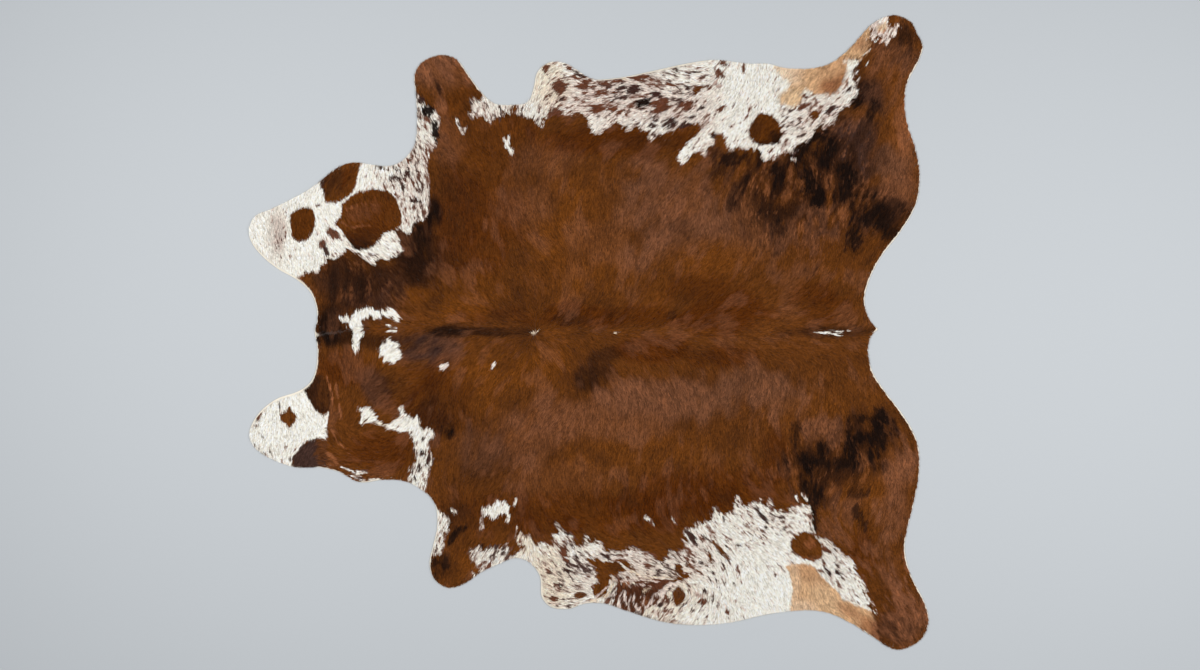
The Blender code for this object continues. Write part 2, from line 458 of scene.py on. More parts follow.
def depth_in_stroke(at, points, start_width, end_width):
    """How deep each point lies in a brush stroke through the points, widths in centimetres."""
    line = numbers(points, 2) / 100
    depth = np.full(len(at), WELL_OUTSIDE)
    near = close_to(at, line)
    close = at[near]
    best = np.full(len(close), WELL_OUTSIDE)
    for i in range(len(line) - 1):
        run = line[i + 1] - line[i]
        share = np.clip(((close - line[i]) @ run) / (run @ run), 0, 1)
        along = (i + share) / (len(line) - 1)
        width = (start_width + (end_width - start_width) * along) / 200
        gap = np.linalg.norm(close - line[i] - share[:, None] * run, axis=1)
        best = np.maximum(best, width - gap)
    depth[near] = best
    return depth


def oval_radius(at, x, y, half_long, half_wide, turn):
    """1 on an oval's border, 0 at its middle. Sizes are in centimetres and turn in degrees."""
    c, s = math.cos(math.radians(turn)), math.sin(math.radians(turn))
    u = (at[:, 0] * 100 - x) * c + (at[:, 1] * 100 - y) * s
    v = (at[:, 1] * 100 - y) * c - (at[:, 0] * 100 - x) * s
    return np.hypot(u / half_long, v / half_wide)


# %% [markdown]
# ## Soft tones and painted sheen in the brown
# The brown isn't even. It is darker and redder along the back and on the neck, more orange on the
# ribs and paler in patches. The pale pinkish patch mid-way along the right flank is painted sheen,
# light glancing off the lying hair. Brindling is black hair drawn through the thighs.

# %% Soft tones and painted sheen
# pigment, strength, then the oval: along, across, half length, half width, turn
TONES_AND_SHEEN = (
    ("dark brown", 0.95, -84, 1, 5, 5, 0), ("dark brown", 0.85, -74, 15, 13, 11, 0),
    ("purple brown", 0.7, -70, 14, 12, 6, 0), ("black", 0.85, -56, 22, 8, 11, 20),
    ("black", 0.9, -56, 31, 6, 6, 0), ("black", 0.9, -49.5, 38.5, 2.6, 4.4, 0),
    ("black", 0.5, -70, 16, 4, 6, 0), ("dark brown", 0.4, -30, 10, 30, 8, 0),
    ("dark brown", 0.7, -50, 20, 10, 10, 0), ("dark brown", 0.5, -44, 40, 8, 18, 0),
    ("red brown", 0.6, -35, 38, 14, 20, 0), ("red brown", 0.5, -30, 64, 14, 8, 0),
    ("light brown", 0.85, -48, 82, 9, 7, 0), ("light brown", 0.5, -45, 62, 6, 8, 0),
    ("light brown", 0.6, -14, 56, 10, 7, 0), ("red brown", 0.5, -42, 74, 6, 5, 20),
    ("dark brown", 0.7, -39, 73, 2, 3, 0), ("dark brown", 0.75, -39, 66, 1.6, 2.4, 0),
    ("orange brown", 0.6, -56, 12, 7, 3, 0), ("brown", 0.8, -52, 4, 10, 4, 0),
    ("brown", 0.7, -88, 13, 5, 6, 0), ("orange brown", 0.8, -40, 8, 10, 4, 0),
    ("orange brown", 0.7, -2, 30, 14, 20, 0), ("orange brown", 0.5, -38, 14, 14, 5, 0),
    # Painted sheen: the pinkish brown oval at 24, 40 and the light brown one at 4, 30 here, and the light
    # brown one at -20, 42 below, are light glancing off the lying hair of the right flank.
    ("pinkish brown", 0.75, 24, 40, 20, 14, -8), ("light brown", 0.5, 4, 30, 12, 8, 0),
    ("pinkish brown", 0.4, 50, 36, 12, 12, 0), ("light brown", 0.35, -20, 42, 10, 8, 0),
    ("red brown", 0.75, 6, 62, 30, 5, 0), ("dark brown", 0.35, 20, 61, 12, 3, 0),
    ("red brown", 0.85, 0, 5.5, 34, 3.5, 0), ("dark brown", 0.7, -6, 4, 6, 2, 0),
    ("black", 0.75, -30, 0.2, 16, 1.6, 0), ("dark brown", 0.8, 27, 6, 2, 1.4, 30),
    ("red brown", 0.5, 36, 14, 14, 5, 0), ("red brown", 0.5, 45, 6, 14, 6, 0),
    ("light brown", 0.3, 64, 12, 4, 9, 0),
    ("orange brown", 0.5, 40, 24, 14, 6, 0), ("red brown", 0.5, 72, 12, 8, 4, 0),
    ("black", 0.75, -80, -1, 9, 3.4, 0), ("black", 0.6, -68, -3, 6, 2.6, 0),
    ("purple brown", 0.95, -53, -5.5, 10, 5, -4), ("black", 0.5, -54, -4, 8, 2.4, 0),
    ("red brown", 0.5, -78, -12, 10, 5, 0), ("orange brown", 0.5, -67, -8.6, 6, 2.4, 0),
    ("black", 0.85, -46, 0.5, 6, 2.0, 0),
    ("purple brown", 0.6, -68, -18, 5, 5, 0), ("dark brown", 0.5, -62, -17, 7, 4, 0),
    ("red brown", 0.9, -48, -22, 12, 11, 0), ("dark brown", 0.55, -48, -26, 10, 8, 0),
    ("black", 0.95, -44.6, -32.6, 2.2, 2.8, 0), ("red brown", 0.7, -66, -38, 12, 6, 0),
    ("orange brown", 0.6, -34, -22, 5, 6, 0), ("orange brown", 0.8, -24, -12, 18, 6, 6),
    ("dark brown", 0.8, 6, -7, 7, 3, 10), ("dark brown", 0.85, 0, -14, 8, 4.4, 20),
    ("black", 0.4, 0, -15, 4, 4, 0), ("red brown", 0.8, 22, -6, 14, 4, 0),
    ("red brown", 0.7, 42, -8, 12, 3.4, 0),
    ("light brown", 0.45, -22, -34, 14, 8, 0), ("pinkish brown", 0.6, -36, -38, 10, 7, 0),
    ("dark brown", 0.3, -34, -42, 10, 10, 0),
    ("pinkish brown", 0.75, 30, -22, 22, 7, 0), ("orange brown", 0.45, 15, -36, 20, 8, 0),
    ("light brown", 0.3, -10, -48, 16, 7, 0), ("red brown", 0.9, 2, -58, 34, 7, 0),
    ("red brown", 0.85, 38, -52, 22, 8, 0),
    ("pinkish brown", 0.7, 54, -17, 14, 6, 0), ("pinkish brown", 0.5, 62, -22, 6, 5, 0),
    ("red brown", 0.4, -38, -58, 10, 8, 0), ("orange brown", 0.6, -38, -74, 6, 4, 0),
    ("dark brown", 0.6, -46, -76, 5, 4, 0), ("dark brown", 0.6, -42, -60, 6, 5, 0),
    ("purple brown", 0.9, 84, 58, 9, 12, 0), ("dark brown", 1.0, 68, 54, 14, 11, 0),
    ("black", 0.55, 68, 55, 10, 8, 0), ("black", 0.6, 84, 44, 5, 8, 0),
    ("dark brown", 1.0, 91, 38, 12, 9, 0), ("dark brown", 0.7, 64, 42, 12, 8, 0),
    ("black", 0.5, 91, 37, 9, 7, 0),
    ("dark brown", 0.85, 85, 32, 5, 9, 0), ("dark brown", 0.5, 86, 75, 5, 5, 0),
    ("purple brown", 0.5, 60, 60, 4, 10, 0), ("pinkish brown", 0.8, 97, 54, 6, 6, 0),
    ("light brown", 0.7, 98, 46, 6, 5, 0), ("orange brown", 0.9, 101, 68, 4, 12, 0),
    ("light brown", 0.5, 102, 54, 3, 10, 0), ("strand", 0.5, 101, 66, 2.4, 9, 0),
    ("strand", 0.5, 77, 49, 1.6, 4, 0), ("strand", 0.35, 72, 33, 2.4, 3, 0),
    ("purple brown", 0.6, 92, 76, 6, 6, 0), ("light brown", 0.5, 98, 88, 7, 6, 0),
    ("orange brown", 0.6, 97, 78, 3.4, 8, 0), ("dark brown", 0.55, 86, 84, 2.4, 6, 0),
    ("dark brown", 0.6, 103, 94.5, 4, 2.4, 0), ("orange brown", 0.5, 98, 100, 4, 2, 0),
    ("orange brown", 0.9, 81, -56, 5, 7, 0), ("orange brown", 0.7, 93, -52, 5, 8, 0),
    ("light brown", 0.7, 99, -46, 5, 8, 0), ("light brown", 0.5, 98, -58, 6, 8, 0),
    ("red brown", 0.6, 88, -70, 5, 10, 0), ("light brown", 0.45, 96, -78, 4, 6, 0),
    ("purple brown", 0.5, 98, -94, 8, 6, 0), ("light brown", 0.4, 104, -90, 4, 7, 0),
    ("orange brown", 0.5, 76, -26, 8, 6, 0), ("red brown", 0.6, 60, -40, 5, 9, 0),
    ("dark brown", 0.85, 76, -42, 11, 8, 0), ("dark brown", 0.85, 90, -33, 9, 9, 0),
    ("black", 0.5, 90, -33, 7, 8, 0), ("black", 0.5, 72, -45, 6, 8, 0),
    ("dark brown", 0.6, 74, -56, 4, 8, 0),
    ("light brown", 0.7, 88, -41, 2.4, 3, 0), ("strand", 0.4, 97, -46, 3, 3, 0),
    ("strand", 0.35, 79, -51, 2.4, 2.4, 0), ("light brown", 0.5, 72, -32, 5, 3, 0),
    ("dark brown", 0.8, 77, 0.2, 16, 1.8, 0),
    ("black", 0.8, -84, 2.4, 4.6, 6.4, 0), ("dark brown", 0.75, -74, 17, 13, 9, 0),
    ("red brown", 0.6, 44, 7, 13, 7, 0), ("red brown", 0.5, 77, 8, 8, 5, 0),
    ("light brown", 0.5, 5, -28, 30, 7, 0), ("dark brown", 0.2, -36, -40, 13, 10, 0),
    ("orange brown", 0.6, 82, -59, 9, 8, 0), ("dark brown", 0.2, -45, -24, 9, 9, 0),
    ("purple brown", 0.6, 84, 61, 5, 9, 0), ("pinkish brown", 0.4, -48, 82, 5, 6, 0),
    ("purple brown", 0.35, -20, 54, 5, 9, 0), ("dark brown", 0.9, -60, 27, 6, 8, 0),
    ("black", 0.55, -55, 27, 6, 10, 0), ("black", 0.9, -49.8, 38.5, 2.8, 5, 0),
    ("dark brown", 0.55, 57, 49, 9, 8, 0), ("dark brown", 0.4, 62, 38, 9, 8, 0),
    ("red brown", 0.35, -80, -13, 6, 6, 0),
)
# Areas of dark brindle, areas of paler brown, one of them painted sheen, and single black blotches, all
# frayed along the hair.
DARK_AREAS = (
    # strength, then the oval
    (1.0, 71, 46, 25, 18, 0), (0.5, 86, 62, 9, 13, 0), (0.75, 79, -40, 17, 12, 0),
    (0.35, 79, -58, 7, 9, 0), (0.6, 100, 93, 7, 7, 0), (0.6, -73, 17, 13, 9, 0),
)
PALE_AREAS_AND_SHEEN = (
    # strength, then the oval
    (1.0, 98, -87, 9, 13, 0), (0.5, 92, -72, 7, 10, 0), (0.5, 75, -32, 8, 6, 0),
    (0.6, 98, -42, 7, 9, 0), (0.4, 62, -20, 12, 10, 0), (0.4, 74, 33, 16, 8, 0),
    # The paler area at 25 along, 38 across is painted sheen in the middle of the right flank.
    (0.4, 82, -60, 8, 9, 0), (0.5, 96, -60, 6, 8, 0), (0.6, 25, 38, 14, 8, 0),
    (0.8, -47, 82, 7, 8, 0), (0.5, 30, -22, 15, 8, 0), (0.3, 97, 84, 6, 9, 0),
)
BRINDLE = (
    # strength, then the oval
    (1.0, -44.6, -32.6, 1.8, 2.2, 0),
    (0.8, 61.5, 52.5, 2.4, 3, 0), (0.9, 70, 59, 4.4, 3, 0), (0.95, 76.5, 59, 2.2, 5, 0),
    (0.85, 73, 62, 3.6, 1.8, 0), (0.7, 71, 55, 3.6, 2.4, 0), (0.95, 71, 47, 4.6, 2.6, -50),
    (0.95, 73.5, 43, 2.4, 1.8, 0), (0.85, 69, 50.5, 2, 2, 0), (0.95, 83, 49.5, 2.6, 3, 0),
    (0.8, 83.5, 43, 2.6, 3.4, 0), (0.8, 86.5, 39, 2.4, 3, 0), (0.9, 84.5, 30, 2.4, 4.6, 0),
    (0.7, 86, 35, 1.8, 3, 0), (0.85, 91, 37.5, 2.6, 3.6, 0), (0.75, 94.5, 36, 2.6, 3.4, 0),
    (0.6, 97, 41, 3.6, 1.8, 0), (0.6, 89, 44, 2.4, 2.4, 0), (0.55, 62, 47, 3.6, 3, 0),
    (0.5, 60, 39, 4, 3, 0), (0.6, 61, 33.5, 1.8, 2.4, 0), (0.7, 97, 31.5, 2.6, 1.8, 30),
    (0.95, 86, 74.5, 2.4, 2.4, 0), (0.8, 91.4, 72.4, 2.2, 3, 0), (0.6, 88, 79, 2, 1.8, 0),
    (0.5, 81.4, 69, 2.6, 1.6, 0), (0.8, 48, 56, 4.4, 1.8, 0), (0.6, 42, 52, 1.4, 3.4, -20),
    (0.6, 55, 56.6, 1.8, 2.4, 0),
    (0.95, 92.5, -28, 2.4, 3, 0), (0.9, 93, -34, 3.4, 4, 0), (0.9, 92.6, -38.5, 2.6, 2.4, 0),
    (0.5, 98.2, -33, 1.2, 3.4, 0), (0.9, 86.4, -34, 2.4, 1.4, 0), (0.85, 83.5, -31, 1.3, 3, 0),
    (0.85, 88.4, -27.6, 2, 1.2, 0), (0.95, 84, -38, 2.4, 3.2, 0), (0.8, 80.6, -41.6, 4, 1.8, 0),
    (0.85, 74.4, -37, 1.6, 3, 0), (0.75, 75.5, -42, 3.4, 1.4, 0), (0.95, 70.6, -44, 2.4, 4, 0),
    (0.8, 68, -40.6, 1.4, 2.4, 0), (0.7, 66.4, -32.6, 1.3, 3.4, 0), (0.9, 72.6, -54, 1.8, 4.6, 0),
    (0.9, 72, -60.6, 1.5, 3.4, 0), (0.8, 69.6, -49, 1.8, 2, 0), (0.8, 86.6, -58.6, 1.6, 2.6, 0),
    (0.7, 88.2, -62, 1.4, 2, 0), (0.6, 86, -51, 3, 1.8, 0), (0.6, 93.6, -43, 2, 2.2, 0),
    (0.5, 75, -54.6, 1.8, 2, 0), (0.8, -48.3, 78.6, 0.7, 2.4, 24), (0.8, -47.4, -73.6, 2.6, 2.2, 0),
    (0.9, -42, -64.4, 3.6, 1.3, 44), (0.8, -34, -69, 1, 1, 0), (0.6, -48, -77, 2, 2, 0),
    (0.5, -73, 15, 2, 4, 0), (0.5, -82, 12, 1, 7, 0), (0.4, -77, 16, 0.8, 6, 0),
)
print("tones:", len(TONES_AND_SHEEN), "dark and pale areas:", len(DARK_AREAS) + len(PALE_AREAS_AND_SHEEN))

# %% [markdown]
# ## White patches
# White lies over the cheeks, the brisket and both flanks, with a crooked bar on the neck.

# %% White patches
# Closed lines in centimetres; points beyond the trimmed edge only close the shape.
WHITE_PATCHES = (
    # name, how far the border frays in millimetres, corners
    ("right cheek", 4, """
-95 13  -94 18.4  -90 19.3  -86.5 19.8  -86 21  -84.5 22.5  -82 23.5  -80 24.5  -78.5 26
-76.5 27  -74 25.2  -71.5 23.5  -69.3 21.4  -68 23.5  -66 23.4  -64.5 22.6  -61 25  -59.8 26.5
-60.5 29  -62 31.5  -62.5 33  -60.5 33.5  -59 31.5  -57.5 31  -56.5 33  -56 36  -52 36
-51.3 40  -51 45  -51.5 50  -51.8 55  -50.5 58.5  -48.8 60  -48.6 64  -47 68.5  -49 71  -51 73
-53 74.6  -55 76.6  -60 80  -70 66  -90 62  -118 50  -118 13"""),
    ("left cheek", 2, """
-90.5 -19  -89 -22  -87.5 -24.6  -86 -26.3  -84.5 -26.6  -83 -25.4  -83.5 -27.5  -83.8 -30
-83.8 -33.6  -85 -34.6  -87 -34.6  -89 -34.6  -91 -35.6  -92.5 -37  -93.5 -39  -95 -40
-94.5 -42  -94.5 -43.4  -97 -48  -118 -45  -118 -12  -93 -12"""),
    ("left shoulder bar", 4, """
-74 -24.5  -72 -24  -70 -24  -69 -25  -68.5 -26.5  -67.5 -28  -66 -29  -64 -29.3  -63 -28.8
-61.5 -27.5  -60.5 -26  -60.5 -24.5  -60 -24  -59.3 -25  -59 -26.5  -57.5 -27  -56 -27.5
-55 -27  -54.3 -28.5  -54 -30.5  -53 -31.5  -51 -31  -50 -31.5  -49.5 -33  -50.5 -34.5
-51.5 -35  -51.5 -36.5  -50.5 -38  -50 -39.5  -50.2 -42  -51 -45  -52 -48  -52.5 -51
-55 -52  -57.5 -48  -57.8 -46  -57.5 -43.5  -56 -42.5  -55.5 -40  -56 -36  -57 -33.5
-57.5 -31.5  -60 -32  -62 -31  -64 -30.5  -66 -30.5  -67.5 -30.5  -68 -29  -70 -28.5
-72 -29  -74 -29.5  -73.5 -27.5  -73 -25.5"""),
    ("neck bar", 4, """
-79.8 5.4  -78.5 4.9  -76.5 4.9  -75 5.7  -74 7.3  -72 7.6  -70 7.8  -68 7.1  -66 6.8
-64.5 7.2  -63 7.3  -61.9 6.3  -61 4.6  -61 3.4  -62.8 4.2  -64.2 5  -66 5.1  -68 4.9  -70 5.5
-72 4.7  -72.8 3.4  -72.8 1.5  -72.4 0  -72.8 -1.5  -73.2 -3  -73.9 -4.5  -74.4 -6.9  -74.9 -6.7
-75.3 -5.3  -75.6 -3  -75.6 -1  -76.1 0.7  -77.2 2.2  -78.2 3.7  -79.2 3.7"""),
    ("neck blot", 4, """
-65 -2  -63.5 -2.5  -62 -3  -61 -5  -60 -7.5  -60.5 -9  -62 -9.3  -64 -10  -65.5 -9
-66.5 -7  -67.5 -5.5  -67 -4  -65.5 -3.5"""),
    ("right foreleg", 6, """
-38 75  -37 72.5  -38.5 70  -37.5 68.5  -36 69  -35 70  -33.5 68  -32 67.5  -30 68.5
-28.5 69.5  -27 69.5  -26.5 80  -33 80  -34 74.8"""),
    ("right belly", 6, """
-28 80  -28 70  -26 69.2  -24 69.8  -22 69.6  -20 69.2  -19.5 68.5  -17 68  -15.5 66.5
-14.5 67  -13.5 69  -11.5 70  -8 70  -7 69.5  -4 70  -1 69.5  0.5 68  0.5 64  2 63.3
3.5 63.5  5 65  7 66.5  10 66.8  12 65  13.5 65  15 66.5  16.5 65  19 65  19.8 61.2
21 63  22.5 64  23.5 63  24.3 62.5  25 64  25.5 65  27 64  28.5 65.5  30 66  32 66.5
34 66.8  36 67  38 67.5  37.5 66.5  36 65  35 63.5  33.5 62  32 61  31 59.5  29.5 58
29 56  29.2 54.5  30.5 55  31.5 55  32.5 57  34 58  36 58.5  37 57  38 58  39.5 59.5
40.5 60  41 61.5  40 62.5  39.5 64  41 63.5  42 63.5  43 63  43.5 61.5  44.5 60  45 58
46 58.5  47.5 59  49 59.5  51 59  53 58.8  54.5 58.5  55.5 57  56 55  56.5 54.5  58 55.5
60 56.5  61 57.5  63 58  65 58  66 59  66.5 60  68 61  70 61.5  71 62  72.5 63  73 64.5
74 65.5  75 65  76.5 66  78.5 66.5  79 68  80 69  80 70.5  81 71  82 72.5  83.5 72.5
84 74.5  85.5 75.5  87 78  85.5 78.5  85.5 80  86.8 81.5  85 80.5  84.5 82  85 84  86 86
87 88  86 87.5  84.5 87.6  82 88  80 95  60 105  -28 105"""),
    ("left belly", 6, """
-28 -74  -24.5 -71  -23 -70.5  -21 -69.5  -20 -69  -21.5 -68  -23.5 -67.5  -24 -66.5
-23.5 -65.5  -23 -62  -22.2 -64  -21.3 -63.5  -20.5 -65.5  -19.5 -65.5  -18.5 -65
-17.5 -67.5  -16.5 -68.5  -16 -67.5  -14.5 -67  -13 -68  -11.5 -69  -10.5 -68.5
-11 -66.5  -12 -65  -10.5 -65  -9.5 -63.5  -10.5 -61.5  -10 -61  -9 -63  -7 -64  -5 -64.5
-4.5 -66  -4 -67.5  -2 -69  -1 -68  -1 -66  -1.3 -65  0 -66  1 -67  3 -67  4.5 -68
6 -69.5  8 -70  10 -70  12 -69.5  13.5 -69  16 -69.5  18 -70  20 -71  22 -72.5  24 -73.5
24.5 -72.5  26 -70  27 -70  28.5 -70.5  30 -69.5  31 -69  31.5 -70  30 -65.5  31 -65.5
30.5 -63.5  32 -63  34.5 -62  36 -61  38.5 -60.5  39.5 -60  39.7 -57  40.5 -56
41.5 -57.5  43 -58.5  45.5 -58.5  46.5 -57  47 -55  47.5 -52  48.5 -53.5  49 -55
50.5 -56  52 -54.5  54 -54  55.5 -54  57 -55.5  57.5 -54.5  58.2 -53  59 -54.5  60 -56.5
61 -57  66 -56.5  66.5 -56  67.5 -55.5  69 -55.5  70 -55.5  71 -55.5  71.7 -58  71 -61
72 -63.6  73.5 -64.5  74 -65.5  76 -66  78 -67  79 -68.5  81 -69.5  82 -71.5  84 -72.5
85 -73.5  85.5 -75.5  86.5 -77.5  88 -79  88.5 -82  89 -84  90 -86  91 -88  92.4 -90.6
90 -89  86 -92  70 -105  -28 -105"""),
    ("left foreleg edge", 4, """
-50 -53  -48.5 -57  -47 -58  -45.5 -59  -45 -60  -44 -60.5  -44.5 -62.5  -45 -64.5
-46.5 -64  -46 -66  -46.5 -69  -47 -71  -48.5 -71.5  -50 -72  -54 -71  -53 -54"""),
    ("left elbow patch", 4, """
-34 -56.5  -32.5 -56  -31 -55.5  -29.5 -54.5  -29 -53.5  -28.3 -55  -27 -54  -26 -54.5
-25.2 -56  -25.5 -57.5  -26.5 -58.5  -28 -58.5  -29.5 -59.5  -30.5 -60.5  -31.5 -60
-32 -59  -33.5 -59  -34 -58"""),
    ("left heel patch", 5, """
-38.5 -69  -37.5 -70  -36 -68.5  -35.2 -68  -35 -69.5  -33.5 -70  -32 -69  -31 -68.5
-29.5 -69.5  -28 -68.5  -26.5 -67.5  -25.5 -68.5  -25.5 -70  -27 -73  -30 -78  -34 -78
-36 -75  -37 -73.5  -38 -74.5  -37.8 -72"""),
)
WHITE_TONES = (
    # pigment, strength, then the oval
    ("pinkish white", 0.9, -46.4, -11, 3, 3, 0), ("pinkish white", 0.9, -30.6, -11.2, 3, 3, 0),
    ("pinkish white", 0.7, 10, 74, 26, 9, 0), ("cream", 0.6, -13, 80, 6, 8, 0),
    ("pinkish white", 0.4, 36, 72, 8, 10, 0), ("cream", 0.7, -12, -80, 8, 10, 0),
    ("cream", 0.6, -21, -67, 4, 6, 0), ("pinkish white", 0.5, 10, -76, 16, 8, 0),
    ("cream", 0.5, 24, -84, 12, 9, 0), ("pinkish white", 0.35, 34, -74, 8, 8, 0),
    ("pinkish white", 0.5, 73, 68, 12, 6, 30), ("pinkish white", 0.35, -56, 48, 7, 14, 0),
    ("pinkish white", 0.4, -34, 71, 6, 4, 0), ("cream", 0.5, 86, 90, 5, 3, 40),
    ("shaded white", 0.9, -100, 31, 3, 8, 0), ("roan", 0.4, -99, 33, 2, 7, 0),
    ("cream", 0.4, -66, -29.6, 3, 1, 0),
)
WHITE_STROKES = (
    # fray in millimetres, width at the start and end in centimetres, points
    (3, 0.5, 0.4, "-64.4 2.6  -63.6 1.4  -62 1.3"),
    (3, 0.4, 0.3, "-64.4 0.4  -62 0.3"),
    (3, 1.5, 1.2, "-47.2 -11.4  -45.6 -10.4"),
    (3, 0.9, 1.1, "-30.9 -11.8  -30.3 -10.6"),
    (4, 0.5, 1.3, "-26.9 61.8  -26.4 60.6  -26.0 59.6"),
    (4, 1.4, 0.9, "-26.2 59.8  -25.2 58.6  -24.6 57.8"),
    (3, 0.5, 0.5, "-25.6 62.6  -25.4 60.2"),
    (2, 0.9, 0.8, "-42.3 68.4  -41.5 66  -40.3 63.9"),
    (2, 0.5, 0.6, "-40.3 63.9  -39.4 65.6"),
    (3, 0.5, 0.5, "-49.6 71.6  -47.4 68.6"),
    (4, 0.2, 0.7, "72.5 0.0  76 0.0  80.5 -0.3"),
    (3, 0.4, 0.1, "76.6 0.6  78.6 0.9"), (3, 0.5, 0.1, "79 0.3  83.4 0.6"),
    (3, 0.4, 0.1, "78.6 -0.6  81 -1.0"),
    (3, 1.4, 0.6, "18.4 -59.4  19.6 -60.4  21.0 -61.8"),
    (3, 0.5, 0.4, "26.0 -58.8  28.0 -61.2"),
    (2, 0.8, 0.6, "66.4 -52.6  67.2 -54.2"),
    (2, 1.2, 0.8, "68.6 -52.2  70.0 -54.0"),
    (2, 0.5, 0.5, "-79.4 -43.0  -76 -44.4  -74 -45.8  -72 -47.4"),
    (2, 1.3, 0.8, "-74.2 -44.9  -71.4 -44.7"),
    (2, 0.5, 0.4, "-76.4 -45.8  -73.4 -47.2  -71.0 -47.9"),
    (2, 0.8, 0.5, "-70.2 -47.3  -67.4 -47.1"),
    (2, 0.8, 0.8, "65.2 55.8  66.2 55.4"),
    (3, 1.2, 1.2, "-43.8 -57.0  -42.8 -57.6"),
    (3, 0.7, 1.4, "-34.4 -60.2  -34.2 -62.8"),
    (3, 1.2, 0.8, "-26.0 -60.4  -25.5 -58.6"),
    (3, 1.0, 0.6, "-23.8 -55.6  -23.2 -53.6"),
    (2, 0.8, 0.5, "88.0 89.0  90.2 90.8"),
    (2, 0.7, 0.4, "89.0 85.8  89.6 86.8"),
    (2, 0.7, 0.4, "85.9 83.2  86.5 84.0"),
    (2, 0.6, 0.4, "-37.4 -76.8  -36.4 -78.6"),
)
print("white patches:", len(WHITE_PATCHES), "white strokes:", len(WHITE_STROKES))

# %% [markdown]
# ## Tan, flecks and spots
# The fold inside each hind leg is tan. Roan flecks thicken towards the brown, and round spots of
# solid brown stand on the white.

# %% Tan patches
TAN_PATCHES = (
    # how soft the border is in millimetres, fray, corners
    (8, 3, """
59.7 105  59.7 85  60.2 83.5  62 82  64 80.5  64.6 79  63.4 77.8  61 76.6  60.3 75
61.5 73.6  64 72.6  66 72.6  67 73.2  68 74.6  68.6 76.2  69.6 77.6  71 77.6  73 77
75 76  77 76  80 76.4  80.6 78  81.6 79.2  82.4 81  83 83  83 85  82 86.6  82.4 87.8
85 87.9  87 87.6  88 89  89.2 90  90.2 92.5  90.4 95  90 98  92 105"""),
    (4, 1.5, """
63 -75.4  64 -74.6  66 -74.4  68 -74.1  70 -74.2  72 -75  73.5 -76.5  74 -77.5  76 -79.5
77.5 -81  79 -82.5  80 -84  81 -85.3  83 -86  85 -87  87 -88  89 -88.5  90.5 -89.5
91.6 -91.4  92.2 -93  92.4 -95  93 -98  94.4 -100.4  96 -102.4  95 -110  62 -110  64.4 -90
64.8 -86  65.5 -83  65 -80  64.5 -78  64 -76.6"""),
)
TAN_TONES = (
    # pigment, strength, oval
    ("pale tan", 0.95, 63.5, 84.5, 5.4, 5, 0), ("golden tan", 0.9, 65, 75.6, 4.4, 3, 0),
    ("deep tan", 0.95, 79.4, 80, 5.4, 5, 20), ("deep tan", 0.5, 79, 86, 5, 2.4, 20),
    ("light brown", 0.4, 79.6, 78.4, 3.4, 2.4, 0),
    ("tan", 0.6, 74, 84, 8, 3, 10), ("deep tan", 0.5, 85, 94, 3, 3.4, 45),
    ("light brown", 0.5, 88.4, 92, 2, 3, -40),
    ("pale tan", 0.5, 69, -88.5, 5, 3, 0), ("pale tan", 0.3, 66, -80, 1.6, 7, 0),
    ("deep tan", 0.35, 72, -78, 5, 3, -40), ("golden tan", 0.5, 76, -86, 7, 4, -40),
    ("deep tan", 0.6, 84, -89.5, 5, 2, -30), ("deep tan", 0.9, 91, -96, 6, 4, -45),
    ("light brown", 0.85, 92.6, -97, 2, 6, 0),
)
print("tan patches:", len(TAN_PATCHES))

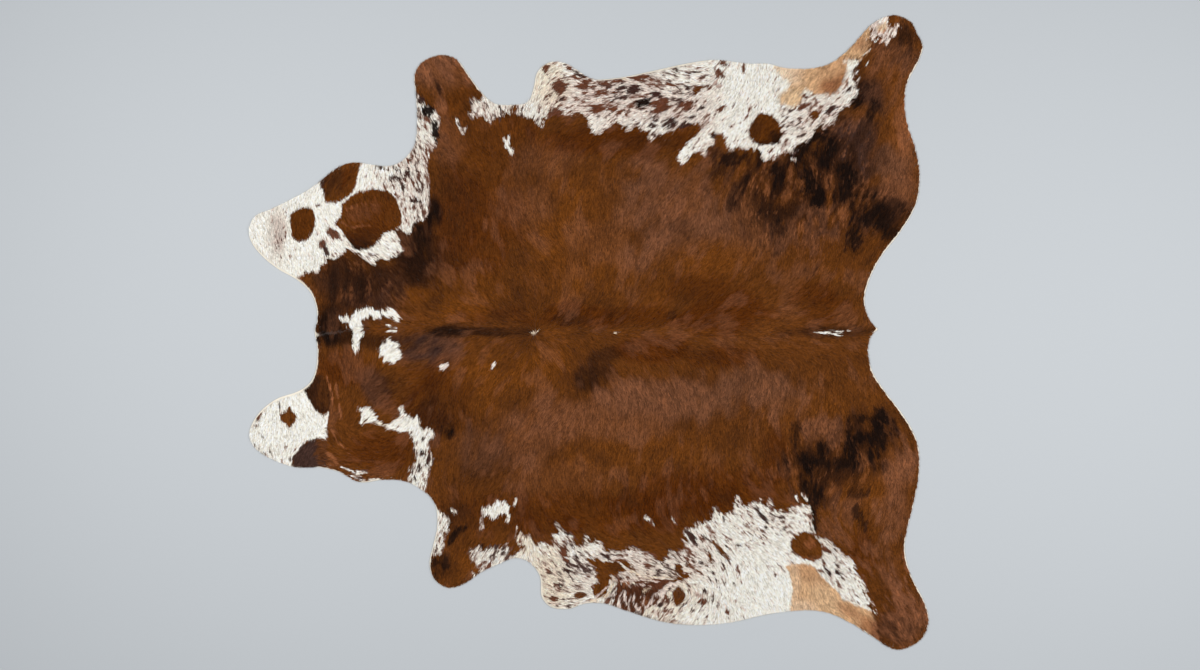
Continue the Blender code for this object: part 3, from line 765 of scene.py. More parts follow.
# %% Roan flecks
# Each guide: along, across, share of dark hair in the white there, in per cent.
FLECK_GUIDES = """
-74 4 0     -66 6 0     -63 -7 0    -70 7 0     -46 -11 0   -30 -11 0   -25 61 2    76 0 0
-108 31 0   -104 34 1   -103 28 2   -100 34 7   -99 28 8    -97 26 4    -95 38 2    -92 26 1
-92 43 1    -86 24 3    -86 41 1    -80 27 8    -80 40 0    -74 50 1    -70 51 5    -70 48 3
-66 47 12   -64 50 26   -62 56 18   -60 47 34   -58 51 36   -56 46 42   -54 40 40   -54 52 40
-53 58 34   -53 64 40   -53 68 45   -52 72 60   -50 70 45   -58 39 22   -60 36 14   -57 34 12
-68 25 10   -74 26 10   -64 30 8    -66 27 14
-92 -22 1   -97 -33 1   -104 -30 0  -90 -30 0   -96 -40 4   -103 -38 4  -86 -30 1   -98 -24 2
-72 -26 1   -62 -29 3   -56 -29 2   -53 -33 5   -54 -41 34  -54 -46 26  -57 -46 26
-37 71 24   -34 72 18   -31 71 20   -28 71 40   -24 71 60   -21 71 40   -18 71 10   -15 69 20
-16 78 14   -16 82 6    -13 77 14   -12 82 14   -8 84 22    -10 74 16   -7 75 32    -5 82 26
-4 73 28    -3 76 38    1 73 24     2 78 48     6 79 58     10 78 56    6 74 44     3 68 10
8 69 18     12 68 20    14 79 54    14 72 48    17 68 18    19 75 50    19 79 46    21 65 12
22 70 54    22 77 54    26 82 30    30 84 22    34 85 14    26 77 24    28 74 52    33 75 42
35 82 12    37 79 26    30 69 32    34 70 24    38 73 20    39 66 14    33 63 4     30 57 3
36 60 10    40 61 22    38 63 6     43 68 14    42 77 8     42 85 4     46 73 6     46 80 3
45 63 8     48 67 6     50 62 10    50 82 2     54 78 1     54 88 1     57 72 2     51 69 8
58 57 10    57 59 18    63 62 24    66 66 28    70 65 24    70 68 30    74 68 28    77 70 30
72 73 32    75 75 28    78 74 30    81 75 22    84 78 20    84 84 6     61 60 16    66 59 18
64 70 14
-22 -65 26  -19 -67 16  -20 -71 10  -17 -72 24  -15 -75 24  -14 -70 8   -12 -67 10  -9 -65 26
-8 -68 56   -12 -74 34  -13 -80 30  -10 -77 46  -12 -84 22  -8 -81 34   -8 -85 24   -3 -78 44
-4 -72 40   0 -75 50    2 -69 12    6 -71 44    10 -72 42   14 -71 26   13 -75 54   18 -73 42
20 -76 52   17 -77 56   -2 -83 26   2 -82 40    -1 -86 18   4 -86 26    12 -80 66   10 -84 60
15 -82 74   18 -84 70   20 -82 62   16 -88 68   22 -86 52   20 -89 34   24 -90 24   26 -74 42
24 -78 46   30 -72 46   34 -72 28   30 -77 30   35 -78 26   36 -83 28   33 -86 24   30 -90 10
36 -90 10   38 -80 20   33 -65 24   36 -64 16   38 -68 34   42 -67 22   40 -73 26   42 -78 10
44 -84 5    40 -92 5    45 -61 14   49 -58 18   50 -63 20   48 -68 14   50 -73 6    53 -60 18
52 -80 2    55 -90 1    57 -58 20   58 -64 18   60 -70 4    63 -60 30   66 -62 26   69 -57 22
69 -61 16   62 -82 0    62 -66 12   76 -68 38   79 -71 34   77 -73 40   80 -74 30   83 -75 12
80 -79 24   84 -80 18   82 -83 6    86 -84 8    88 -87 4
-47 -59 16  -46 -63 20  -48 -67 45  -47 -70 40  -30 -56 5   -28 -58 14  -36 -72 46  -33 -73 38
-29 -71 34  -27 -69 30
"""
FLECK_REACH = 0.02
fleck_guides = numbers(FLECK_GUIDES, 3)
fleck_places = fleck_guides[:, :2] / 100
fleck_share = blend_guides(grid_points, fleck_places, fleck_guides[:, 2:] / 100, FLECK_REACH)
fleck_share = fleck_share.reshape(GRID_SHAPE)
# How far above the average the streaks must be, for a given share of flecks.
SHARES = (0.0, 0.02, 0.05, 0.1, 0.2, 0.3, 0.4, 0.5, 0.6, 0.7)
LEVELS = (3.0, 2.05, 1.64, 1.28, 0.84, 0.52, 0.25, 0.0, -0.25, -0.52)
print("fleck guides:", len(fleck_guides))

# %% Spots on the white
# pigment, fray in millimetres, then the oval: along, across, half length, half width, turn
SPOTS = (
    ("fleck brown", 2, -82.0, 31.8, 2.6, 1.3, -36), ("fleck brown", 1, -85.4, 28.4, 1.2, 1.4, 0),
    ("fleck", 2, -84.0, 25.6, 0.7, 2.0, 14), ("fleck brown", 2, -86.6, 40.8, 0.6, 0.4, 30),
    ("fleck", 2, -66.4, 52.8, 1.6, 0.4, -12), ("fleck", 3, -61.4, 52.4, 1.3, 0.6, -20),
    ("fleck", 3, -62.0, 49.6, 2.0, 0.9, -6), ("fleck brown", 3, -57.6, 55.2, 1.0, 1.2, -30),
    ("fleck", 3, -59.4, 46.4, 0.6, 1.5, 0), ("fleck", 3, -55.2, 42.2, 2.4, 0.7, 0),
    ("fleck", 3, -57.8, 51, 1.4, 0.7, -30), ("black", 3, -49.4, 65.2, 1.0, 3.4, 8),
    ("black", 4, -51.6, 71.4, 2.4, 1.7, -30), ("fleck", 3, -53.4, 74.2, 1.0, 1.6, 20),
    ("fleck brown", 1, -103.1, -23.9, 1.5, 0.4, 42),
    ("fleck brown", 1, -105.7, -27.2, 1.9, 0.5, 60), ("fleck brown", 1, -106.4, -30.0, 0.7, 0.4, 0),
    ("fleck", 1, -104.5, -33.6, 1.2, 0.2, -48), ("fleck", 1, -101.9, -38.6, 0.9, 0.3, -60),
    ("fleck", 1, -104.2, -38.6, 0.5, 0.2, -30), ("fleck", 1, -95.6, -41.0, 0.3, 0.9, 0),
    ("fleck", 1, -106.6, -36.4, 0.8, 0.2, -40), ("fleck", 1, -99.0, -23.4, 0.2, 1.0, 0),
    ("fleck", 3, -53.4, -38.6, 0.8, 1.3, -10), ("fleck", 3, -54.4, -43.2, 0.8, 1.6, -10),
    ("fleck", 3, -51.6, -41.8, 0.7, 1.7, -10), ("fleck", 3, -55.6, -47.2, 0.7, 1.5, 20),
    ("fleck", 2, -53.2, -34.2, 0.4, 0.9, 0), ("fleck", 3, -56.6, -44.8, 0.4, 1.0, 0),
    ("fleck brown", 4, -9.2, 78.6, 2.6, 2.4, 20), ("fleck brown", 4, -11.6, 76.6, 2.0, 0.8, 30),
    ("fleck brown", 3, -13.5, 84.6, 1.0, 1.4, -10), ("fleck brown", 3, -1.8, 78.6, 2.4, 1.0, 0),
    ("fleck", 2, -3.4, 83.0, 1.7, 0.5, -34), ("fleck brown", 2, -6.4, 76.8, 1.6, 0.4, 0),
    ("fleck brown", 3, -6.2, 84.4, 0.9, 0.6, 0), ("fleck", 2, -8.6, 74.8, 0.9, 0.5, 40),
    ("fleck brown", 4, -10.4, 70.6, 2.2, 1.2, 0), ("fleck brown", 3, 4, 80.6, 6, 0.5, 0),
    ("fleck brown", 4, 3.0, 71.8, 2.6, 1.0, 0), ("fleck brown", 4, 8.6, 71.2, 2.6, 0.7, -8),
    ("fleck", 3, 10.0, 75.2, 2.0, 0.4, 8), ("fleck", 4, 10.6, 78.6, 1.4, 1.2, 0),
    ("fleck brown", 3, 15.6, 81.6, 3.0, 1.3, 0), ("fleck brown", 4, 5.0, 76.8, 2.4, 0.6, 10),
    ("black", 4, 17.6, 73.6, 2.4, 1.3, 14), ("fleck", 4, 14.4, 77.6, 3.0, 1.2, 10),
    ("fleck brown", 5, 23.2, 72, 2.8, 2.6, 20), ("fleck", 4, 21.6, 76.6, 1.4, 1.2, 0),
    ("fleck", 4, 25.8, 67.0, 2.2, 1.4, 30), ("fleck", 4, 31.4, 66.6, 2.0, 0.8, 10),
    ("fleck", 3, 33.0, 69.0, 1.8, 0.6, 40), ("fleck brown", 4, 31.8, 72.6, 1.5, 2.2, -30),
    ("fleck", 3, 36.4, 71.9, 1.7, 0.7, 24), ("fleck brown", 4, 42.6, 71.6, 1.3, 1.0, 44),
    ("spot brown", 3, 35.4, 78.2, 1.9, 1.1, 30), ("fleck brown", 3, 38.2, 78.9, 0.9, 0.9, 0),
    ("fleck brown", 3, 26.6, 79.4, 2.0, 0.5, 0), ("fleck", 3, 31.8, 78.6, 1.2, 0.7, 0),
    ("fleck brown", 2, 43.4, 86.2, 1.5, 0.8, -28), ("fleck brown", 2, 41.8, 83.4, 2.0, 0.9, -46),
    ("fleck brown", 2, 49.7, 84.8, 0.4, 1.1, 0), ("roan", 3, 41.2, 79.4, 1.6, 0.6, -44),
    ("fleck", 2, 23.6, 84.0, 1.6, 0.3, -14), ("fleck", 2, 28.4, 84.0, 0.4, 1.5, 6),
    ("fleck", 2, 34.6, 83.4, 1.0, 0.3, 0), ("fleck", 2, 40.0, 63.0, 0.9, 0.8, 0),
    ("brown", 4, 42.0, 61.2, 1.6, 2.2, 0), ("fleck", 3, 20.4, 66.4, 1.2, 0.8, 0),
    ("fleck brown", 3, 68.6, 72.4, 1.6, 0.8, 36), ("spot brown", 3, 72.4, 69.6, 1.3, 1.5, 0),
    ("fleck", 3, 77.4, 71.4, 1.7, 0.8, 20), ("fleck", 3, 82.8, 77.4, 1.4, 0.5, 36),
    ("fleck", 3, 74.4, 66.4, 1.4, 0.5, 20), ("fleck brown", 3, 69.6, 75.6, 0.8, 0.8, 40),
    ("spot brown", 6, 9, -74.6, 4.4, 1.0, -6), ("fleck", 3, 5.4, -71.9, 1.6, 0.6, -34),
    ("fleck brown", 3, -7.6, -70.4, 1.2, 2.4, 20), ("fleck", 3, -7.2, -76.2, 1.4, 0.8, -10),
    ("fleck", 3, -3.8, -79.4, 2.4, 0.4, -8), ("spot brown", 3, -2.4, -84.2, 2.4, 1.3, 6),
    ("fleck brown", 3, -11.2, -85.4, 1.7, 0.8, -8), ("fleck brown", 3, 1.6, -72.8, 2.2, 0.7, 0),
    ("fleck", 2, -6.4, -64.6, 1.6, 0.4, -20), ("fleck", 3, -11.6, -83.0, 0.8, 0.4, 0),
    ("fleck", 4, 11.0, -80, 0.8, 1.8, 0), ("spot brown", 5, 20.0, -80.0, 5.6, 0.8, 6),
    ("spot brown", 4, 29.4, -79.0, 4.0, 0.9, 24), ("black", 3, 15.6, -88.0, 0.8, 1.6, 0),
    ("black", 3, 15.4, -84.6, 0.6, 0.9, 0), ("fleck", 3, 22.4, -87.2, 1.4, 0.8, -30),
    ("spot brown", 1.5, 28.8, -84.6, 1.7, 3.4, -8), ("fleck brown", 4, 24.8, -85.4, 1.0, 1.8, 20),
    ("spot brown", 3, 28.8, -75.6, 1.6, 1.5, 0), ("spot brown", 3, 31.4, -74.8, 1.0, 1.1, 0),
    ("fleck", 2, 36.2, -73.7, 0.8, 0.6, 0), ("spot brown", 3, 39.0, -71.6, 0.7, 2.6, 14),
    ("spot brown", 3, 42.2, -70.0, 2.4, 0.7, -52), ("fleck", 3, 33.2, -65.8, 2.6, 0.9, -46),
    ("fleck", 2, 39.8, -77.0, 0.6, 0.5, 0), ("fleck", 2, 43.4, -60.4, 0.4, 1.1, 0),
    ("fleck", 3, 37.6, -65.6, 1.0, 0.4, -50), ("fleck", 2, 48.2, -68.2, 0.8, 0.5, 0),
    ("fleck", 2, 55.6, -58.6, 3.1, 0.8, -50), ("fleck brown", 3, 58.6, -56.4, 1.5, 0.8, -44),
    ("fleck brown", 2, 63.2, -57.6, 1.8, 0.5, 0), ("fleck", 2, 62.6, -63.2, 0.8, 0.5, 0),
    ("fleck", 2, 56.8, -62.6, 0.6, 0.8, 0), ("fleck", 3, 37.0, -82.6, 1.0, 0.9, 0),
    ("fleck brown", 3, 36.8, -86.4, 1.6, 1.0, 10), ("roan", 3, 35.4, -84.4, 1.2, 0.6, -30),
    ("fleck brown", 1.5, 44.4, -89.6, 0.7, 0.9, 0), ("fleck", 1.5, 46.6, -80.8, 0.5, 0.5, 0),
    ("roan", 1.5, 47.2, -86.2, 0.6, 0.7, 0), ("fleck", 1.5, 39.8, -86.2, 0.4, 0.6, 0),
    ("fleck", 3, 76.4, -76.6, 1.8, 0.7, -40), ("fleck brown", 3, 76.6, -70.0, 1.8, 0.8, -20),
    ("fleck", 3, 79.6, -76.8, 1.2, 0.5, -40), ("brown", 4, -24.6, 71.4, 0.9, 1.8, 0),
)
# Marks with their own outline, as closed lines.
MARKS = (
    # pigment, fray in millimetres, corners
    ("brown", 1.2, """
-96 -23.8  -95.4 -24.2  -94.9 -25.6  -93.6 -26.6  -93.8 -28.4  -94.8 -29.4  -95.4 -31
-96 -30.8  -96.8 -29.4  -98.4 -28.6  -98.6 -26.6  -97.4 -25.6  -96.6 -25.2"""),
    ("spot brown", 1.2, """
-95.9 37  -95 38.6  -92 40  -89.4 40.2  -88.2 38.6  -87.8 36  -88 33.4  -89.2 31  -90.6 29.6
-93 29.2  -94.6 30  -95.2 33"""),
    ("brown", 1.5, """
-79.2 43.6  -76.5 44.2  -74 44.8  -70 45.9  -66.5 45.9  -63.5 45  -62 43.5  -61 41  -60.2 38.5
-60 36  -60.5 34  -62.5 32.8  -65 32.4  -66.5 31  -67.5 29.5  -69 28  -70 27  -72.5 26.4
-74.5 26.4  -76 28  -77.5 30  -78.5 31.5  -79.6 33.4  -81.2 35  -80.4 36.4  -79 37.6  -79 41"""),
    ("brown", 1.5, """
-87 50.5  -86.2 48  -85 45.6  -84.6 43.4  -84.6 41.8  -81.5 41.5  -79 42  -77.5 43.4
-75.8 44.3  -75 46.8  -74.2 50  -73.4 53  -73 56  -80 59  -88 54"""),
    ("dark brown", 1.5, """
-91.8 -17.6  -89.6 -21.4  -88 -24  -86 -26  -84.6 -26  -83.5 -25.2  -83 -22.6  -83 -19
-83.8 -16  -86 -13.6  -88.6 -15"""),
    ("purple brown", 3, """
-95.2 -40.2  -93 -38.4  -92 -36.4  -90 -34.8  -87 -34.2  -84.8 -34.6  -84 -36  -84 -40
-84.4 -46  -94.4 -46  -94.7 -42"""),
    ("spot brown", 1.5, """
51.5 64  52 66  53 68  54.5 70  55.5 70.3  57 70  59 69.5  60.5 68  61.2 66.5  61.5 65
61.7 63  61.2 61  60 60.5  58 60.5  56.5 60  54.5 60.5  53 61  52 62.5"""),
    ("brown", 2, """
64.5 -68  65 -66.4  66.5 -65  68 -64.1  70 -63.9  72 -64.9  73.6 -66.4  74.6 -68  74.9 -70
75.2 -72  73.6 -73.2  71 -73.4  69 -72.4  67 -71.6  65.4 -70.4"""),
    ("brown", 4, """
0 -72  3 -72.5  5 -73.5  8 -73.5  10 -74  12 -75.5  12.5 -77  10 -77  8 -77.5  7 -79
6.6 -81  6 -83  4 -85.4  2 -84.6  1 -82.6  2.4 -80.6  3 -78  2 -76.5  3 -75.4  0 -74"""),
    ("fleck brown", 5, """
7.4 -86.8  9 -84  8 -81.6  10 -79.4  13 -80.4  17 -80.2  21 -79  25 -79  26 -80.4  24 -82
23 -84.6  22 -87  19 -88.4  17 -91  14 -90.4  11 -89"""),
    ("pinkish white", 6, """
90.2 99  90.2 95  89.8 93.8  92 94.4  94 94.8  95 92  96 93  96.5 95  97.5 96  98.5 97
99.6 98.8  98.4 98.4  97 97.2  95.6 97.6  95.8 100  95 103  90 103"""),
)
# Shading laid over the marks, and thin pale or dark strokes of hair.
MARK_TONES = (
    # pigment, strength, oval
    ("black", 1.0, -73.5, 28.4, 5.4, 2.6, 0), ("dark brown", 0.8, -72, 30.4, 8, 3.4, 0),
    ("dark brown", 0.6, -64.4, 43.6, 3, 1.2, -30),
    ("dark brown", 0.7, -82, 49, 4, 5, 0), ("red brown", 0.6, -76.4, 51, 1.6, 4, -20),
    ("red brown", 0.5, -70, 37, 9, 8, 0), ("light brown", 0.3, -72, 39, 5, 2.6, 20),
    ("fleck", 0.7, -85.4, 46.4, 1.2, 3, 0),
    ("brown", 0.7, -85.4, -38, 1.8, 5, 0), ("brown", 0.4, -84.8, -19, 1.6, 5, 0),
    ("black", 0.8, 60, 62.2, 2.2, 2.6, 40), ("black", 0.6, 56, 60.8, 4, 1.0, 0),
    ("dark brown", 0.5, 53.4, 65.4, 1.8, 3, 0), ("dark brown", 0.5, 15, -85, 8, 4, 0),
    ("strand", 0.5, 12, -80.4, 1.6, 1.2, 0), ("strand", 0.35, 18, -86.6, 1.6, 1.6, 0),
    ("light brown", 0.6, 72.4, -72.6, 3, 1.0, -10),
    ("golden tan", 0.8, 93.4, 97.6, 2.2, 1.2, 20), ("dark brown", 0.5, 10, -75, 3, 1.6, 0),
    ("strand", 0.4, 70.8, -68.2, 1.8, 1.8, 0), ("brown", 0.5, 5, -80, 2, 3, 0),
)
COLOUR_STROKES = (
    # pigment, strength, fray in millimetres, width at the start and end in centimetres, points
    ("strand", 0.7, 1.5, 0.6, 0.4, "-83.8 -14.6  -82.8 -18  -82 -20  -82.4 -24"),
    ("strand", 0.6, 1.5, 0.7, 0.5, "-80 -23.4  -79.2 -27.6"),
    ("strand", 0.7, 1.5, 0.8, 0.5, "-82.6 -31  -80.4 -35  -76.8 -38.6"),
    ("strand", 0.6, 2, 1.2, 0.8, "-83.8 -38.4  -81.6 -40.4  -81 -42"),
    ("strand", 0.5, 2, 0.8, 0.5, "-81 -17  -80.4 -21"),
    ("cream", 0.95, 1, 0.6, 0.4, "-18.2 0.0  -16.2 0.5"), ("cream", 0.8, 1, 0.5, 0.3, "8.4 0.0  9.4 0.2"),
    ("strand", 0.45, 2, 0.9, 0.5, "-79.6 35.4  -76 33.8  -70 34.6"),
    ("strand", 0.4, 2, 0.7, 0.4, "-77.6 39.6  -73 41.6  -68 41"),
    ("white", 0.95, 0.5, 1.0, 0.6, "-80.6 41.3  -78.6 42.2  -76.6 43.8  -74.6 45.2"),
    ("white", 0.9, 1.5, 0.8, 0.7, "65 -71.6  68 -73  71 -73.9  73.6 -75.6"),
    ("white", 0.8, 1.5, 0.5, 0.4, "71 -73.4  73.8 -75.2"),
    ("pinkish white", 0.9, 2, 1.5, 0.8, "23.4 -84.4  24.4 -82.2  26.4 -80.8  29.2 -80.2"),
    ("pinkish white", 0.8, 2, 0.6, 0.4, "20 -87  20.8 -84.6  22.8 -83.2"),
    ("pinkish white", 0.8, 2, 0.7, 0.4, "11.8 -83  11.6 -86  13.2 -88.6"),
    ("pinkish white", 0.8, 2, 0.7, 0.4, "15 -83.2  14.4 -86.4  15.6 -89.6"),
    ("pinkish white", 0.8, 2, 0.6, 0.4, "17.6 -84.2  17.4 -87  18.6 -90"),
    ("cream", 0.8, 2, 1.0, 0.6, "17.8 -83.0  19.6 -82.0"),
    ("cream", 0.8, 2, 0.5, 0.4, "1 -86.2  5 -84.8  8 -81.6"),
    ("cream", 0.7, 2, 0.9, 0.5, "8 -78.6  6.8 -82  9 -80"),
    ("pinkish white", 0.85, 2, 0.6, 0.3, "10.2 -88.4  9.6 -85.6  10.8 -83"),
    ("pinkish white", 0.8, 2, 0.4, 0.3, "13.2 -90  12.8 -86.6  13.6 -84.4"),
    ("pinkish white", 0.8, 2, 0.5, 0.3, "16.6 -91  16.2 -87.8  17.0 -84.4"),
    ("pinkish white", 0.85, 2, 0.6, 0.3, "19.6 -91.4  18.8 -88  20.0 -85.2"),
    ("pinkish white", 0.85, 2, 0.5, 0.3, "21.4 -91.8  21.2 -88.6  22.6 -85.8"),
    ("pinkish white", 0.8, 2, 0.4, 0.3, "12 -81.6  16 -80.8  20 -81.4"),
    ("pinkish white", 0.8, 2, 0.4, 0.3, "10.4 -79.8  16 -79.2  22 -80.0"),
    ("pinkish white", 0.7, 2, 0.5, 0.3, "2.6 -84.6  5.2 -82.4  7.6 -80.4"),
    ("white", 0.8, 2, 1.3, 0.8, "32.6 -80  35.6 -79.6  38.4 -81"),
    ("white", 0.8, 2, 0.7, 0.5, "34.2 -81.8  36 -81  37.6 -82.2"),
    ("cream", 0.8, 2, 0.5, 0.3, "13 -76.2  19 -78.6  26 -78.4"),
    ("cream", 0.7, 2, 0.6, 0.3, "10.8 81.6  13.4 80.4  17.6 79.4"),
    ("fleck", 0.8, 1.5, 0.4, 0.3, "18.6 83.4  22 81.4  26 80.2"),
    ("fleck", 0.7, 1.5, 0.4, 0.3, "24.4 82.6  27.4 80.8  32 80"),
    ("strand", 0.7, 2, 0.5, 0.3, "91.8 94.2  93.8 98"),
    ("strand", 0.7, 2, 0.5, 0.3, "93.2 93.4  95.2 97.2"),
    ("light brown", 0.7, 2, 0.5, 0.3, "95 94.8  97.2 98.8"),
    ("brown", 0.7, 2, 0.4, 0.3, "96.2 94.6  98 98"),
    ("fleck", 0.8, 2, 0.6, 0.5, "14 -89.4  18 -90.6  22 -92"),
)
print("spots:", len(SPOTS), "marks:", len(MARKS), "strokes:", len(COLOUR_STROKES))

# %% [markdown]
# ## Laying pigments
# A pigment goes over what is there already through a mask. A tone's mask is a soft oval. The mask
# of mottle and streaks comes from the grain at the point, which is a mix of streaks and clouds.

# %% Laying pigments
Grain = namedtuple("Grain", "fine lock band small middle large shake")


def grain_at(at, shake):
    """The streaks and clouds at each point. Shake is each lock's own chance of looking different."""
    fine, lock = sample(fine_streaks, at).T
    band = sample(broad_streaks, at)[:, 0]
    return Grain(fine, lock, band, *sample(clouds, at).T, shake)


def mix(grain, shares):
    """Some kinds of grain added together, each times its share."""
    return sum(share * getattr(grain, kind) for kind, share in shares.items())


def even_colour(name, at):
    """One pigment at every point."""
    return np.tile(pigment[name], (len(at), 1))


def lay(colour, over, mask):
    """Lays a pigment, or a colour for each point, over the colours so far, as its mask says."""
    if isinstance(over, str):
        over = pigment[over]
    colour += mask[:, None] * (over - colour)


def lay_ovals(colour, at, ovals, soft, ragged):
    """Lays soft ovals of pigment, with a ragged border."""
    for name, strength, *oval in ovals:
        inside = 1 - oval_radius(at, *oval) + ragged
        lay(colour, name, strength * smooth_step(*soft, inside))


def lay_grain(colour, grain, layers, area=1.0):
    """Lays mottle or streaks over an area."""
    for name, strength, start, full, shares in layers:
        lay(colour, name, strength * area * smooth_step(start, full, mix(grain, shares)))


test_points = np.array([[0.0, 0.3], [-0.9, 0.3], [0.55, 0.8], [0.72, 0.58]])
test_grain = grain_at(test_points, 0.0)
print("fine grain at four points:", np.round(test_grain.fine, 2).tolist())

# %% [markdown]
# ## The brown coat
# Tones are laid first, among them the painted sheen, then a mottle over all of the hide, then the
# brindled and the paler areas, and last the black blotches, which keep a few brown tips.

# %% Brown coat
TONE_SOFT = (-0.42, 0.42)
TONE_RAGGED = {"band": 0.10, "middle": 0.14}
MOTTLE = (
    # pigment, strength, the mix where it starts and where it is full, shares in the mix
    ("light brown", 0.40, 0.0, 1.9, {"middle": 0.8, "band": 0.7, "lock": 0.3}),
    ("dark brown", 0.45, 0.0, 2.2, {"large": 0.5, "lock": 0.7, "middle": -0.7}),
    ("orange brown", 0.30, 0.3, 1.6, {"large": 1.0, "band": -0.4}),
)
DARK_STREAKS = (
    ("dark brown", 0.95, -1.0, 0.8, {"band": 0.9, "lock": 0.5}),
    ("black", 0.8, 0.3, 1.5, {"band": 0.8, "lock": 0.5, "middle": 0.4}),
    ("strand", 0.4, 0.4, 1.8, {"fine": 0.7, "band": -0.8}),
)
PALE_STREAKS = (
    ("light brown", 1.0, -0.9, 0.7, {"band": 0.8, "lock": 0.5}),
    ("strand", 0.5, 0.6, 1.8, {"band": 0.8, "fine": 0.6}),
)
AREA_SOFT = (-0.35, 0.45)
AREA_RAGGED = {"middle": 0.2}
BRINDLE_REACH = 1.22         # a blotch spreads this much past its oval
BRINDLE_SOFT = (-0.25, 0.40)
BRINDLE_RAGGED = {"lock": 0.26, "fine": 0.20, "band": 0.15, "middle": 0.12, "shake": 0.10}
TIPS_SHARE = 0.38            # how brown the brown tips in a blotch are
TIPS_SOFT = (0.3, 1.5)
TIPS_MIX = {"fine": 0.8, "band": -0.5, "shake": 0.4}


def brown_coat(at, grain):
    """The brown coat with its tones, painted sheen, mottle and brindle, as if nothing were white."""
    colour = even_colour("brown", at)
    lay_ovals(colour, at, TONES_AND_SHEEN, TONE_SOFT, mix(grain, TONE_RAGGED))
    lay_grain(colour, grain, MOTTLE)
    for areas, streaks in ((DARK_AREAS, DARK_STREAKS), (PALE_AREAS_AND_SHEEN, PALE_STREAKS)):
        for strength, *oval in areas:
            inside = 1 - oval_radius(at, *oval) + mix(grain, AREA_RAGGED)
            lay_grain(colour, grain, streaks, strength * smooth_step(*AREA_SOFT, inside))
    ragged = mix(grain, BRINDLE_RAGGED)
    black_share = 1 - TIPS_SHARE * smooth_step(*TIPS_SOFT, mix(grain, TIPS_MIX))
    for strength, *oval in BRINDLE:
        inside = BRINDLE_REACH - oval_radius(at, *oval) + ragged
        lay(colour, "black", strength * smooth_step(*BRINDLE_SOFT, inside) * black_share)
    return colour


print("brown at four points:", np.round(brown_coat(test_points, test_grain), 3).tolist())

# %% [markdown]
# ## White and roan
# White hair is shaded a little between its locks. Where dark hair grows through it, flecks are drawn
# out along the streaks, with roan round them, and their share comes from the fleck guides.

# %% White and roan
WHITE_BORDER = (-0.0018, 0.0022)
WHITE_STROKE_BORDER = (-0.0010, 0.0016)
WHITE_STROKE_FRAY = 0.6
WHITE_TONE_SOFT = (-0.5, 0.5)
WHITE_TONE_RAGGED = {"middle": 0.1}
WHITE_SHADING = (("shaded white", 0.42, -0.6, 2.0, {"lock": 0.7, "fine": 0.8, "shake": 0.4}),)
FLECK_MIX = {"fine": 0.80, "lock": 0.60, "small": 0.20, "shake": 0.45}
FLECK_SPREAD = 1.12          # how far that mix spreads round 0
FLECK_BORDER = (-0.25, 0.65)
FLECK_STRENGTH = 0.97
ROAN_BORDER = (-1.1, 0.1)
ROAN_STRENGTH = 0.70
BROWNISH_CLOUDS = (-1.0, 0.5)


def whiteness(at, fray):
    """1 where the coat is white and 0 where it is brown."""
    white = np.zeros(len(at))
    for _, frays, corners in WHITE_PATCHES:
        depth = depth_in_patch(at, corners) + frays * fray
        white = np.maximum(white, smooth_step(*WHITE_BORDER, depth))
    for frays, start, end, points in WHITE_STROKES:
        depth = depth_in_stroke(at, points, start, end) + WHITE_STROKE_FRAY * frays * fray
        white = np.maximum(white, smooth_step(*WHITE_STROKE_BORDER, depth))
    return white


def flecked_white(at, grain):
    """The white coat with its shading and roan flecks."""
    colour = even_colour("white", at)
    lay_ovals(colour, at, WHITE_TONES, WHITE_TONE_SOFT, mix(grain, WHITE_TONE_RAGGED))
    lay_grain(colour, grain, WHITE_SHADING)
    level = np.interp(sample(fleck_share, at), SHARES, LEVELS)
    past_level = mix(grain, FLECK_MIX) / FLECK_SPREAD - level
    brownish = smooth_step(*BROWNISH_CLOUDS, grain.middle)[:, None]
    fleck = pigment["fleck"] * (1 - brownish) + pigment["fleck brown"] * brownish
    lay(colour, "roan", ROAN_STRENGTH * smooth_step(*ROAN_BORDER, past_level))
    lay(colour, fleck, FLECK_STRENGTH * smooth_step(*FLECK_BORDER, past_level))
    return colour


print("white at four points:", np.round(whiteness(test_points, 0.0), 3).tolist())

# %% [markdown]
# ## Tan, spots and marks
# These lie on top. The tan has a soft border, and spots and marks have frayed ones.

# %% Tan, spots and marks
TAN_TONE_SOFT = (-0.5, 0.5)
TAN_TONE_RAGGED = {"band": 0.1}
SPOT_STRENGTH = 0.985
SPOT_BORDER = (-0.0022, 0.0018)
MARK_BORDER = (-0.0030, 0.0006)
MARK_TONE_SOFT = (-0.4, 0.5)
MARK_TONE_RAGGED = {"lock": 0.25}
STROKE_BORDER = (-0.0010, 0.0020)


def lay_tan(colour, at, grain, fray):
    """Lays the tan folds of the hind legs."""
    tan = even_colour("tan", at)
    lay_ovals(tan, at, TAN_TONES, TAN_TONE_SOFT, mix(grain, TAN_TONE_RAGGED))
    for soft, frays, corners in TAN_PATCHES:
        depth = depth_in_patch(at, corners) + frays * fray
        lay(colour, tan, smooth_step(-soft / 1000, soft / 1000, depth))


